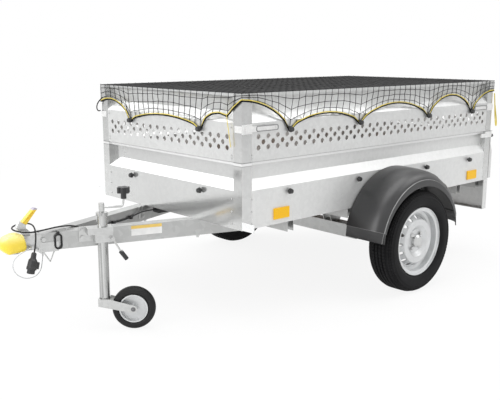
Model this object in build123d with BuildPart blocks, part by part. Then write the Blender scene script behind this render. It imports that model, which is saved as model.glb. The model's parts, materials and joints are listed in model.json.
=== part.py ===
from build123d import *
import os
from math import atan2, cos, degrees, pi, radians, sin, tan

os.makedirs("parts", exist_ok=True)

# A single-axle utility trailer with bent steel walls, a perforated extension and a net.
# X runs to the rear, Y to the trailer's right side, Z up from the ground it stands on.

# Reach from the wheel axis, and the body's outer sizes
nose_reach = 1944
front_reach = 1072
rear_reach = 988
body_width = 1160
wall_bottom = 469
wall_height = 305
extension_height = 305

# Clearances
moving_gap = 5
running_gap = 0.3
seat_gap = 0.3
overrun = 4

# Bent walls: a flat lower panel, a slope inwards, a set-back band and a proud top lip
sheet = 2
panel_rise = 176
step_rise = 48
step_depth = 30
lip_rise = 14
lip_depth = 20
foot_flange = 25
post_length = 60
post_depth = 57
post_wall = 3

# Tailgate and its hinges
gate_depth = 27
gate_step_depth = 20
gate_lip_depth = 12
gate_foot = 20
gate_lift = 7
hinge_drop = 7
barrel_radius = 8
hinge_pin_radius = 4
knuckle_length = 22
hinge_spread = 400
hinge_leaf = 3
hinge_leaf_height = 36

# Net knobs
knob_stem_radius = 6
knob_stem = 10
knob_radius = 14
knob_head = 14
knob_rise = 148
extension_knob_rise = 133
front_knob_inset = 292
rear_knob_inset = 240
guard_knob_reach = (-281, 310)
end_knob_spread = 290

# Places that follow from the reaches
tail_reach = rear_reach + moving_gap + gate_depth + knob_stem + knob_head
axle_x = (nose_reach - tail_reach) / 2
front_x = axle_x - front_reach
rear_x = axle_x + rear_reach
half_width = body_width / 2
wall_top = wall_bottom + wall_height
extension_top = wall_top + extension_height
gate_inner_x = rear_x + moving_gap
gate_outer_x = gate_inner_x + gate_depth
gate_bottom = wall_bottom + gate_lift
side_run = rear_x - front_x - 2 * post_length
end_run = body_width - 2 * post_depth
sides = (("left", -1), ("right", 1))
side_knobs = [
    front_x + front_knob_inset,
    axle_x + guard_knob_reach[0],
    axle_x + guard_knob_reach[1],
    rear_x - rear_knob_inset,
]


def bent_line(foot, rise, height, depth, lip_out, lip_high):
    """Points of a wall's outer face: inwards from the panel, then up."""
    band = depth - lip_out
    shoulder = height - lip_high
    return (
        (foot, 0),
        (0, 0),
        (0, rise),
        (depth, rise + step_rise),
        (depth, shoulder),
        (band, shoulder),
        (band, height),
        (depth, height),
    )


# Upright planes whose local X points into the load space and whose local Y is up
def wall_plane(x, y, z, inward):
    return Plane(origin=(x, y, z), x_dir=inward, z_dir=Vector(*inward).cross(Vector(0, 0, 1)))


inner_x = front_x + post_length
inner_y = half_width - post_depth
# name: start of the wall, direction into the load space, run along the wall
wall_places = {
    "front": ((front_x, inner_y), (1, 0, 0), end_run),
    "left": ((inner_x, -half_width), (0, 1, 0), side_run),
    "right": ((rear_x - post_length, half_width), (0, -1, 0), side_run),
    "rear": ((rear_x, -inner_y), (-1, 0, 0), end_run),
}

lower_line = bent_line(foot_flange, panel_rise, wall_height, step_depth, lip_depth, lip_rise)
upper_line = bent_line(step_depth, panel_rise, extension_height, step_depth, lip_depth, lip_rise)

# Lower walls; the rear one is the tailgate, further down
for place in ("front", "left", "right"):
    (start_x, start_y), inward, run = wall_places[place]
    with BuildPart() as wall:
        with BuildSketch(wall_plane(start_x, start_y, wall_bottom, inward)):
            with BuildLine():
                Polyline(*lower_line)
                offset(amount=sheet, side=Side.RIGHT, kind=Kind.INTERSECTION)
            make_face()
        extrude(amount=run)
    wall.part.label = f"wall_{place}"
    export_step(wall.part, f"parts/wall_{place}.step")

# Extension panels: three staggered rows of round holes in the flat part
hole_radius = 9
hole_pitch = 60
hole_rise = 87
hole_row_step = 25
hole_margin = 60
for place in ("front", "left", "right", "rear"):
    (start_x, start_y), inward, run = wall_places[place]
    with BuildPart() as panel:
        with BuildSketch(wall_plane(start_x, start_y, wall_top, inward)):
            with BuildLine():
                Polyline(*upper_line)
                offset(amount=sheet, side=Side.RIGHT, kind=Kind.INTERSECTION)
            make_face()
        extrude(amount=run)
        hole_count = int((run - 2 * hole_margin) / hole_pitch) + 1
        face = Plane(
            origin=(start_x, start_y, wall_top),
            x_dir=Vector(0, 0, 1).cross(Vector(*inward)),
            z_dir=inward,
        )
        with BuildSketch(face.offset(-overrun)):
            with Locations((-run / 2, hole_rise)):
                with GridLocations(hole_pitch, hole_row_step, hole_count, 1):
                    Circle(hole_radius)
                with GridLocations(hole_pitch, 2 * hole_row_step, hole_count + 1, 2):
                    Circle(hole_radius)
        extrude(amount=sheet + 2 * overrun, mode=Mode.SUBTRACT)
    panel.part.label = f"extension_{place}"
    export_step(panel.part, f"parts/extension_{place}.step")

# Corner posts: hollow columns with a cap, one set for the walls and one for the extension
post_places = [
    (front_x + post_length / 2, half_width - post_depth / 2),
    (front_x + post_length / 2, -half_width + post_depth / 2),
    (rear_x - post_length / 2, half_width - post_depth / 2),
    (rear_x - post_length / 2, -half_width + post_depth / 2),
]
for name, base, height in (
    ("corner_posts", wall_bottom, wall_height),
    ("extension_posts", wall_top, extension_height),
):
    with BuildPart() as posts:
        with BuildSketch(Plane.XY.offset(base)):
            with Locations(*post_places):
                Rectangle(post_length, post_depth)
        extrude(amount=height)
        with BuildSketch(Plane.XY.offset(base - overrun)):
            with Locations(*post_places):
                Rectangle(post_length - 2 * post_wall, post_depth - 2 * post_wall)
        extrude(amount=height + overrun - post_wall, mode=Mode.SUBTRACT)
    posts.part.label = name
    export_step(posts.part, f"parts/{name}.step")

# Load floor: a board on the walls' foot flanges, notched round the posts
floor_thickness = 12
floor_gap = 1
with BuildPart() as floor:
    with BuildSketch(Plane.XY.offset(wall_bottom + sheet)):
        with Locations(((front_x + sheet + floor_gap + rear_x) / 2, 0)):
            Rectangle(
                rear_x - front_x - sheet - floor_gap,
                body_width - 2 * (sheet + floor_gap),
            )
        with Locations(*post_places):
            Rectangle(
                post_length + 2 * floor_gap,
                post_depth + 2 * floor_gap,
                mode=Mode.SUBTRACT,
            )
    extrude(amount=floor_thickness)
floor.part.label = "floor"
export_step(floor.part, "parts/floor.step")

# Drawbar: two box beams that meet at the nose and run straight under the body
beam_width = 60
beam_height = 79
beam_wall = 3
rail_y = 294
bend_inset = 222
beam_tail = 150
nose_lead = 181
apex_inset = 33.5
beam_bottom = wall_bottom - beam_height
bend_x = front_x + bend_inset
beam_end_x = axle_x + beam_tail
beam_front_x = axle_x - nose_reach + nose_lead
apex_x = beam_front_x + apex_inset
drawbar_angle = degrees(atan2(rail_y, bend_x - apex_x))
slant = tan(radians(drawbar_angle))
beam_across = beam_width / 2 / cos(radians(drawbar_angle))


def beam_middle(x):
    """Distance of a beam's middle line from the centre plane, ahead of its bend."""
    return (x - apex_x) * slant


def beam_outline(half, front, rear, seam):
    """Plan of one beam: its mitred nose, its bend under the body and its tail."""
    across = half / cos(radians(drawbar_angle))
    shift = half * tan(radians(drawbar_angle) / 2)
    inner_start = apex_x + (across + seam) / slant
    outer_start = across + beam_middle(front)
    return (
        (inner_start, seam),
        (bend_x + shift, rail_y - half),
        (rear, rail_y - half),
        (rear, rail_y + half),
        (bend_x - shift, rail_y + half),
        (front, outer_start),
        (front, seam),
    )


for side, sign in sides:
    with BuildPart() as beam:
        with BuildSketch(Plane.XY.offset(beam_bottom)):
            outer_plan = beam_outline(beam_width / 2, beam_front_x, beam_end_x, 0)
            with BuildLine():
                Polyline(*[(x, sign * y) for x, y in outer_plan], close=True)
            make_face()
        extrude(amount=beam_height)
        with BuildSketch(Plane.XY.offset(beam_bottom + beam_wall)):
            inner_plan = beam_outline(
                beam_width / 2 - beam_wall,
                beam_front_x + beam_wall,
                beam_end_x + overrun,
                beam_wall,
            )
            with BuildLine():
                Polyline(*[(x, sign * y) for x, y in inner_plan], close=True)
            make_face()
        extrude(amount=beam_height - 2 * beam_wall, mode=Mode.SUBTRACT)
    beam.part.label = f"drawbar_{side}"
    export_step(beam.part, f"parts/drawbar_{side}.step")

# Body bolts: a nut and a bolt tip under each beam, behind the front wall
bolt_inset = 22
bolt_radius = 6
bolt_tip = 18
nut_radius = 10.5
nut_height = 10
with BuildPart() as bolts:
    bolt_x = front_x + bolt_inset
    bolt_places = [(bolt_x, sign * beam_middle(bolt_x)) for side, sign in sides]
    with BuildSketch(Plane.XY.offset(beam_bottom)):
        with Locations(*bolt_places):
            RegularPolygon(nut_radius, 6)
    extrude(amount=-nut_height)
    with BuildSketch(Plane.XY.offset(beam_bottom)):
        with Locations(*bolt_places):
            Circle(bolt_radius)
    extrude(amount=-bolt_tip)
bolts.part.label = "beam_bolts"
export_step(bolts.part, "parts/beam_bolts.step")

# Cross members: open channels under the floor, between and outside the rails
member_width = 42
member_height = 60
member_wall = 3
member_top = wall_bottom + sheet
member_reach = half_width - foot_flange
inner_span = 2 * (rail_y - beam_width / 2)
outer_span = member_reach - rail_y - beam_width / 2
outer_middle = member_reach - outer_span / 2
railed_share = (0.11, 0.55)
free_share = (0.385, 0.71)
railed_x = [bend_x + share * (beam_end_x - bend_x) for share in railed_share]
free_x = [axle_x + share * rear_reach for share in free_share]
sill_x = rear_x - sheet - member_width / 2
# centre x, centre y, length across
member_places = [(x, 0, inner_span) for x in railed_x]
member_places += [
    (x, sign * outer_middle, outer_span)
    for x in railed_x
    for side, sign in sides
]
member_places += [(x, 0, 2 * member_reach) for x in free_x]
member_places += [(sill_x, 0, 2 * inner_y)]
with BuildPart() as members:
    for x, y, length in member_places:
        with BuildSketch(Plane.XZ.offset(-y - length / 2)):
            with Locations((x, member_top - member_height / 2)):
                Rectangle(member_width, member_height)
            with Locations((x, member_top - member_height / 2 - member_wall)):
                Rectangle(
                    member_width - 2 * member_wall,
                    member_height,
                    mode=Mode.SUBTRACT,
                )
        extrude(amount=length)
members.part.label = "cross_members"
export_step(members.part, "parts/cross_members.step")

# Wheels and their places
wheel_radius = 273.5
wheel_gap = 62.5
tyre_width = 155
mid_y = half_width + wheel_gap + tyre_width / 2

# Axle tube and the four plates that carry it on the rails
axle_lead = 148
axle_rise = 26
axle_size = 70
axle_wall = 4
axle_inset = 220
axle_half = mid_y - axle_inset
bracket_length = 110
bracket_wall = 6
axle_tube_x = axle_x - axle_lead
axle_tube_z = wheel_radius + axle_rise
with BuildPart() as axle:
    with BuildSketch(Plane.XZ.offset(-axle_half)):
        with Locations((axle_tube_x, axle_tube_z)):
            Rectangle(axle_size, axle_size)
            Rectangle(
                axle_size - 2 * axle_wall,
                axle_size - 2 * axle_wall,
                mode=Mode.SUBTRACT,
            )
    extrude(amount=2 * axle_half)
axle.part.label = "axle_tube"
export_step(axle.part, "parts/axle_tube.step")

bracket_foot = axle_tube_z + axle_size / 2
with BuildPart() as brackets:
    for side, sign in sides:
        for face in (-1, 1):
            plate_y = sign * rail_y + face * (beam_width - bracket_wall) / 2
            with BuildSketch(Plane.XZ.offset(-plate_y - bracket_wall / 2)):
                with BuildLine():
                    Polyline(
                        (axle_tube_x - axle_size / 2, bracket_foot),
                        (axle_tube_x + axle_size / 2, bracket_foot),
                        (axle_tube_x + bracket_length / 2, beam_bottom),
                        (axle_tube_x - bracket_length / 2, beam_bottom),
                        close=True,
                    )
                make_face()
            extrude(amount=bracket_wall)
brackets.part.label = "axle_brackets"
export_step(brackets.part, "parts/axle_brackets.step")

# Swing arms: a plate from the tube's end to the wheel axis, with the stub axle on it
arm_thickness = 22
arm_root_radius = 38
arm_tip_radius = 28
stub_radius = 15
stub_shoulder_radius = 22
stub_shoulder = 34
stub_past = 10
stub_end = mid_y + stub_past
arm_face = axle_half + arm_thickness
with BuildPart() as arms:
    for side, sign in sides:
        arm_plane = Plane(origin=(0, sign * axle_half, 0), x_dir=(1, 0, 0), z_dir=(0, sign, 0))
        up = -sign
        with BuildSketch(arm_plane):
            with Locations((axle_tube_x, up * axle_tube_z)):
                Circle(arm_root_radius)
            with Locations((axle_x, up * wheel_radius)):
                Circle(arm_tip_radius)
            make_hull()
        extrude(amount=arm_thickness)
        stub_plane = arm_plane.offset(arm_thickness)
        with BuildSketch(stub_plane):
            with Locations((axle_x, up * wheel_radius)):
                Circle(stub_shoulder_radius)
        extrude(amount=stub_shoulder)
        with BuildSketch(stub_plane):
            with Locations((axle_x, up * wheel_radius)):
                Circle(stub_radius)
        extrude(amount=stub_end - arm_face)
arms.part.label = "swing_arms"
export_step(arms.part, "parts/swing_arms.step")

# Hub, rim and tyre: turned about the wheel axis; the first figure of a point is along it
bead_radius = 165
flange_radius = 182
flange_reach = 62
bead_reach = 50
well_radius = 150
well_inner = 24
well_outer = 14
well_slope = 6
rim_sheet = 3
disc_sheet = 4
hub_face = 30
hub_flange = 10
hub_flange_radius = 68
hub_radius = 40
hub_reach = 150
hub_nose_radius = 33.7
hub_nose = 20
cap_height = 8
cap_radius = 24
bore_radius = stub_radius + running_gap
disc_bore = hub_nose_radius + running_gap
lug_face_radius = 62
crown_inner = 86
crown_outer = 114
crown_reach = 46
disc_edge = 16
disc_edge_radius = 135
vent_count = 16
vent_radius = 9
vent_circle = 128
tread_half = 50
shoulder_half = 64
shoulder_drop = 12
wall_radius = 222
bore_end = stub_end + moving_gap - mid_y


def axial_plane(sign):
    """Local X out along the axle from the tyre's mid-plane, local Y up."""
    return Plane(
        origin=(axle_x, sign * mid_y, wheel_radius),
        x_dir=(0, sign, 0),
        z_dir=(sign, 0, 0),
    )


wheel_axis = Axis((axle_x, 0, wheel_radius), (0, 1, 0))
for side, sign in sides:
    with BuildPart() as hub:
        with BuildSketch(axial_plane(sign)):
            with BuildLine():
                Polyline(
                    (-hub_reach, bore_radius),
                    (-hub_reach, hub_radius),
                    (hub_face - hub_flange, hub_radius),
                    (hub_face - hub_flange, hub_flange_radius),
                    (hub_face, hub_flange_radius),
                    (hub_face, hub_nose_radius),
                    (hub_face + hub_nose, hub_nose_radius),
                    (hub_face + hub_nose + cap_height, cap_radius),
                    (hub_face + hub_nose + cap_height, 0),
                    (bore_end, 0),
                    (bore_end, bore_radius),
                    close=True,
                )
            make_face()
        revolve(axis=wheel_axis)
    hub.part.label = f"hub_{side}"
    export_step(hub.part, f"parts/hub_{side}.step")

    with BuildPart() as rim:
        with BuildSketch(axial_plane(sign)):
            with BuildLine():
                Polyline(
                    (-flange_reach, flange_radius),
                    (-bead_reach - rim_sheet, flange_radius),
                    (-bead_reach, bead_radius),
                    (-well_inner - well_slope, bead_radius),
                    (-well_inner, well_radius),
                    (well_outer, well_radius),
                    (well_outer + well_slope, bead_radius),
                    (bead_reach, bead_radius),
                    (bead_reach + rim_sheet, flange_radius),
                    (flange_reach, flange_radius),
                )
                offset(amount=rim_sheet, side=Side.RIGHT, kind=Kind.INTERSECTION)
            make_face()
        revolve(axis=wheel_axis)
        with BuildSketch(axial_plane(sign)):
            with BuildLine():
                Polyline(
                    (hub_face, disc_bore),
                    (hub_face, lug_face_radius),
                    (crown_reach, crown_inner),
                    (crown_reach, crown_outer),
                    (disc_edge, disc_edge_radius),
                    (disc_edge - disc_sheet, well_radius - rim_sheet / 2),
                )
                offset(amount=disc_sheet, side=Side.RIGHT, kind=Kind.INTERSECTION)
            make_face()
        revolve(axis=wheel_axis)
        with BuildSketch(
            Plane(origin=(axle_x, sign * mid_y, wheel_radius), x_dir=(1, 0, 0), z_dir=(0, sign, 0))
        ):
            with PolarLocations(vent_circle, vent_count):
                Circle(vent_radius)
        extrude(amount=crown_reach + disc_sheet, mode=Mode.SUBTRACT)
    rim.part.label = f"rim_{side}"
    export_step(rim.part, f"parts/rim_{side}.step")

    with BuildPart() as tyre:
        with BuildSketch(axial_plane(sign)):
            with BuildLine():
                for end in (-1, 1):
                    Line(
                        (end * (bead_reach - seat_gap), bead_radius + seat_gap),
                        (end * (bead_reach - seat_gap), flange_radius + seat_gap),
                    )
                    ThreePointArc(
                        (end * (bead_reach - seat_gap), flange_radius + seat_gap),
                        (end * tyre_width / 2, wall_radius),
                        (end * shoulder_half, wheel_radius - shoulder_drop),
                    )
                    Line(
                        (end * shoulder_half, wheel_radius - shoulder_drop),
                        (end * tread_half, wheel_radius),
                    )
                Line((-tread_half, wheel_radius), (tread_half, wheel_radius))
                Line(
                    (-bead_reach + seat_gap, bead_radius + seat_gap),
                    (bead_reach - seat_gap, bead_radius + seat_gap),
                )
            make_face()
        revolve(axis=wheel_axis)
    tyre.part.label = f"tyre_{side}"
    export_step(tyre.part, f"parts/tyre_{side}.step")

# Mudguards: a curved shell over each wheel, a flat flap at both ends, a flange on the wall
guard_sheet = 3
guard_top_radius = 382
guard_mid_radius = 376
guard_lip_radius = 342
guard_lip = 72
guard_edge_radius = 326
guard_edge = 77
guard_flange = 24
guard_start = 17
guard_flap = 56
guard_lift = radians(guard_start)
with BuildPart() as guards:
    for side, sign in sides:
        for end in (-1, 1):
            # local X out along the axle, local Y out along the radius of the shell's end
            out = Vector(0, sign, 0)
            radius_way = Vector(end * cos(guard_lift), 0, sin(guard_lift))
            down = (end * sin(guard_lift), 0, -cos(guard_lift))
            end_plane = Plane(
                origin=(axle_x, 0, wheel_radius), x_dir=out, z_dir=out.cross(radius_way)
            )
            with BuildSketch(end_plane) as section:
                with BuildLine():
                    Polyline(
                        (half_width + guard_sheet, guard_top_radius - guard_flange),
                        (half_width + guard_sheet, guard_top_radius),
                        (mid_y, guard_mid_radius),
                        (mid_y + guard_lip, guard_lip_radius),
                        (mid_y + guard_edge, guard_edge_radius),
                    )
                    offset(amount=guard_sheet, side=Side.LEFT, kind=Kind.INTERSECTION)
                make_face()
            extrude(amount=guard_flap, dir=down)
            if end > 0:
                revolve(
                    section.sketch,
                    axis=Axis((axle_x, 0, wheel_radius), (0, -1, 0)),
                    revolution_arc=180 - 2 * guard_start,
                )
guards.part.label = "mudguards"
export_step(guards.part, "parts/mudguards.step")

# Rear light panel under the tailgate: a web, a lower flange and two end plates
light_drop = 188
light_flange = 42
light_bottom = wall_bottom - light_drop
with BuildPart() as light_panel:
    with BuildSketch(Plane.XZ.offset(-half_width)):
        with BuildLine():
            Polyline(
                (rear_x, wall_bottom),
                (rear_x, light_bottom),
                (rear_x - light_flange, light_bottom),
            )
            offset(amount=sheet, side=Side.RIGHT, kind=Kind.INTERSECTION)
        make_face()
    extrude(amount=body_width)
    for side, sign in sides:
        with BuildSketch(Plane.XZ.offset(-sign * (half_width - sheet / 2) - sheet / 2)):
            with Locations((rear_x - light_flange / 2, wall_bottom - light_drop / 2)):
                Rectangle(light_flange, light_drop)
        extrude(amount=sheet)
light_panel.part.label = "light_panel"
export_step(light_panel.part, "parts/light_panel.step")

# Rear lamps: two chambered lenses on the panel
lamp_length = 200
lamp_height = 96
lamp_depth = 24
lamp_inset = 12
lamp_drop = 74
lamp_round = 8
lamp_y = half_width - lamp_inset - lamp_length / 2
lamp_z = wall_bottom - lamp_drop - lamp_height / 2
with BuildPart() as lamps:
    with BuildSketch(Plane.YZ.offset(rear_x)):
        with Locations((lamp_y, lamp_z), (-lamp_y, lamp_z)):
            RectangleRounded(lamp_length, lamp_height, lamp_round)
    extrude(amount=lamp_depth, taper=lamp_round)
lamps.part.label = "rear_lamps"
export_step(lamps.part, "parts/rear_lamps.step")

# Tailgate: a bent sheet with end caps, and the straps of its hinges
gate_height = wall_height - gate_lift
gate_line = bent_line(
    gate_foot, panel_rise - gate_lift, gate_height, gate_step_depth, gate_lip_depth, lip_rise
)
hinge_x = gate_outer_x
hinge_z = wall_bottom - hinge_drop
knuckle_gap = 1
hinge_places = (-hinge_spread, hinge_spread)
with BuildPart() as gate:
    gate_plane = wall_plane(gate_outer_x, -half_width, gate_bottom, (-1, 0, 0))
    with BuildSketch(gate_plane):
        with BuildLine():
            Polyline(*gate_line)
            offset(amount=sheet, side=Side.RIGHT, kind=Kind.INTERSECTION)
        make_face()
    extrude(amount=body_width)
    for start in (0, body_width - sheet):
        with BuildSketch(gate_plane.offset(start)):
            with BuildLine():
                Polyline(
                    *gate_line,
                    (gate_depth, gate_height),
                    (gate_depth, 0),
                    close=True,
                )
            make_face()
        extrude(amount=sheet)
    for y in hinge_places:
        with BuildSketch(Plane.XZ.offset(-y - knuckle_length / 2)):
            with Locations((hinge_x, hinge_z)):
                Circle(barrel_radius)
            with Locations((hinge_x + hinge_leaf / 2, hinge_z + hinge_leaf_height / 2)):
                Rectangle(hinge_leaf, hinge_leaf_height)
            with Locations((hinge_x, hinge_z)):
                Circle(hinge_pin_radius + running_gap, mode=Mode.SUBTRACT)
        extrude(amount=knuckle_length)
gate.part.label = "tailgate"
export_step(gate.part, "parts/tailgate.step")

with BuildPart() as hinges:
    for y in hinge_places:
        hinge_width = 3 * knuckle_length + 2 * knuckle_gap
        with BuildSketch(Plane.XZ.offset(-y - hinge_width / 2)):
            with Locations((hinge_x, hinge_z)):
                Circle(hinge_pin_radius)
        extrude(amount=hinge_width)
        with BuildSketch(Plane.XZ.offset(-y - hinge_width / 2)):
            with Locations((rear_x + hinge_leaf / 2, hinge_z - hinge_leaf_height / 2 + barrel_radius)):
                Rectangle(hinge_leaf, hinge_leaf_height)
        extrude(amount=hinge_width)
        for face in (-1, 1):
            knuckle_y = y + face * (knuckle_length + knuckle_gap)
            with BuildSketch(Plane.XZ.offset(-knuckle_y - knuckle_length / 2)):
                with Locations((hinge_x, hinge_z)):
                    Circle(barrel_radius)
                with Locations(((rear_x + hinge_x) / 2, hinge_z)):
                    Rectangle(hinge_x - rear_x, barrel_radius)
            extrude(amount=knuckle_length)
hinges.part.label = "tailgate_hinges"
export_step(hinges.part, "parts/tailgate_hinges.step")

# Net knobs: a stem and a broad head each
low_knob_z = wall_bottom + knob_rise
high_knob_z = wall_top + extension_knob_rise
knob_planes = []
for side, sign in sides:
    for x in side_knobs:
        for z in (low_knob_z, high_knob_z):
            knob_planes.append(Plane(origin=(x, sign * half_width, z), z_dir=(0, sign, 0)))
for y in (-end_knob_spread, end_knob_spread):
    knob_planes.append(Plane(origin=(front_x, y, low_knob_z), z_dir=(-1, 0, 0)))
    knob_planes.append(Plane(origin=(front_x, y, high_knob_z), z_dir=(-1, 0, 0)))
    knob_planes.append(Plane(origin=(rear_x, y, high_knob_z), z_dir=(1, 0, 0)))
gate_knob_planes = [
    Plane(origin=(gate_outer_x, y, low_knob_z), z_dir=(1, 0, 0))
    for y in (-end_knob_spread, end_knob_spread)
]
for name, planes in (("net_knobs", knob_planes), ("tailgate_knobs", gate_knob_planes)):
    with BuildPart() as knobs:
        for plane in planes:
            with BuildSketch(plane):
                Circle(knob_stem_radius)
            extrude(amount=knob_stem)
            with BuildSketch(plane.offset(knob_stem)):
                Circle(knob_radius)
            extrude(amount=knob_head, taper=knob_head)
    knobs.part.label = name
    export_step(knobs.part, f"parts/{name}.step")

# Reflectors: amber ones on the sides, white plates that stand out at the front corners
amber_length = 98
amber_height = 52
amber_depth = 7
amber_rise = 50
amber_front_inset = 244
amber_rear_inset = 192
white_length = 79
white_height = 36
white_depth = 4
white_rise = 21
with BuildPart() as ambers:
    for side, sign in sides:
        for x in (front_x + amber_front_inset, rear_x - amber_rear_inset):
            with BuildSketch(Plane.XZ.offset(-sign * (half_width + amber_depth / 2) - amber_depth / 2)):
                with Locations((x, wall_bottom + amber_rise)):
                    Rectangle(amber_length, amber_height)
            extrude(amount=amber_depth)
ambers.part.label = "side_reflectors"
export_step(ambers.part, "parts/side_reflectors.step")

with BuildPart() as whites:
    for side, sign in sides:
        with BuildSketch(Plane.YZ.offset(front_x)):
            with Locations((sign * (half_width + white_length / 2), wall_bottom + white_rise)):
                Rectangle(white_length, white_height)
        extrude(amount=white_depth)
whites.part.label = "front_reflectors"
export_step(whites.part, "parts/front_reflectors.step")

# Over-centre latches: four hold the extension at its corners, two hold the tailgate
latch_height = 42
latch_plate = 3
latch_rise = 149
lever_length = 130
lever_height = 24
lever_lift = 8
lever_reach = 205
lever_rim = 5
lever_recess = 4
strap_height = 30
strap_return = 45
latch_z = wall_top + latch_rise
with BuildPart() as latches:
    for side, sign in sides:
        for corner_x, inward in ((front_x, 1), (rear_x, -1)):
            face = Plane(
                origin=(corner_x, sign * half_width, latch_z),
                x_dir=(inward, 0, 0),
                z_dir=(0, sign, 0),
            )
            with BuildSketch(face):
                with Locations((post_length / 2, 0)):
                    Rectangle(post_length, latch_height)
            extrude(amount=latch_plate)
            with BuildSketch(face.offset(latch_plate)):
                with Locations((lever_reach - lever_length / 2 - post_length / 2, 0)):
                    SlotOverall(lever_length + post_length, lever_height)
            extrude(amount=lever_lift)
            with BuildSketch(face.offset(latch_plate + lever_lift - lever_recess)):
                with Locations((lever_reach - lever_length / 2, 0)):
                    SlotOverall(lever_length - 2 * lever_rim, lever_height - 2 * lever_rim)
            extrude(amount=lever_recess, mode=Mode.SUBTRACT)
            strap = Plane(origin=(corner_x, sign * half_width, latch_z - strap_height / 2))
            with BuildSketch(strap):
                with BuildLine():
                    Polyline(
                        (inward * post_length / 2, 0),
                        (inward * post_length / 2, sign * latch_plate),
                        (-inward * latch_plate, sign * latch_plate),
                        (-inward * latch_plate, -sign * strap_return),
                        (0, -sign * strap_return),
                        (0, 0),
                        close=True,
                    )
                make_face()
            extrude(amount=strap_height)
latches.part.label = "extension_latches"
export_step(latches.part, "parts/extension_latches.step")

gate_latch_drop = 24
gate_latch_height = 30
gate_latch_reach = 120
gate_latch_z = wall_top - gate_latch_drop
with BuildPart() as gate_latches:
    for side, sign in sides:
        face = Plane(
            origin=(rear_x, sign * half_width, gate_latch_z),
            x_dir=(-1, 0, 0),
            z_dir=(0, sign, 0),
        )
        with BuildSketch(face):
            with Locations((post_length / 2, 0)):
                Rectangle(post_length, gate_latch_height)
        extrude(amount=latch_plate)
        with BuildSketch(face.offset(latch_plate)):
            with Locations((gate_latch_reach / 2, 0)):
                SlotOverall(gate_latch_reach, lever_height)
        extrude(amount=lever_lift)
gate_latches.part.label = "tailgate_latches"
export_step(gate_latches.part, "parts/tailgate_latches.step")

# The tailgate's catches: a pin with a head near each end of its outer face
catch_inset = 22
catch_drop = 34
catch_radius = 7
catch_head_radius = 11
catch_length = knob_stem
catch_head = knob_head
with BuildPart() as catches:
    for side, sign in sides:
        face = Plane(
            origin=(gate_outer_x, sign * (half_width - catch_inset), wall_top - catch_drop),
            z_dir=(1, 0, 0),
        )
        with BuildSketch(Plane(face.origin - Vector(gate_step_depth, 0, 0), z_dir=(1, 0, 0))):
            Circle(catch_radius)
        extrude(amount=gate_step_depth + catch_length)
        with BuildSketch(face.offset(catch_length)):
            Circle(catch_head_radius)
        extrude(amount=catch_head)
catches.part.label = "tailgate_catches"
export_step(catches.part, "parts/tailgate_catches.step")

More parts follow.
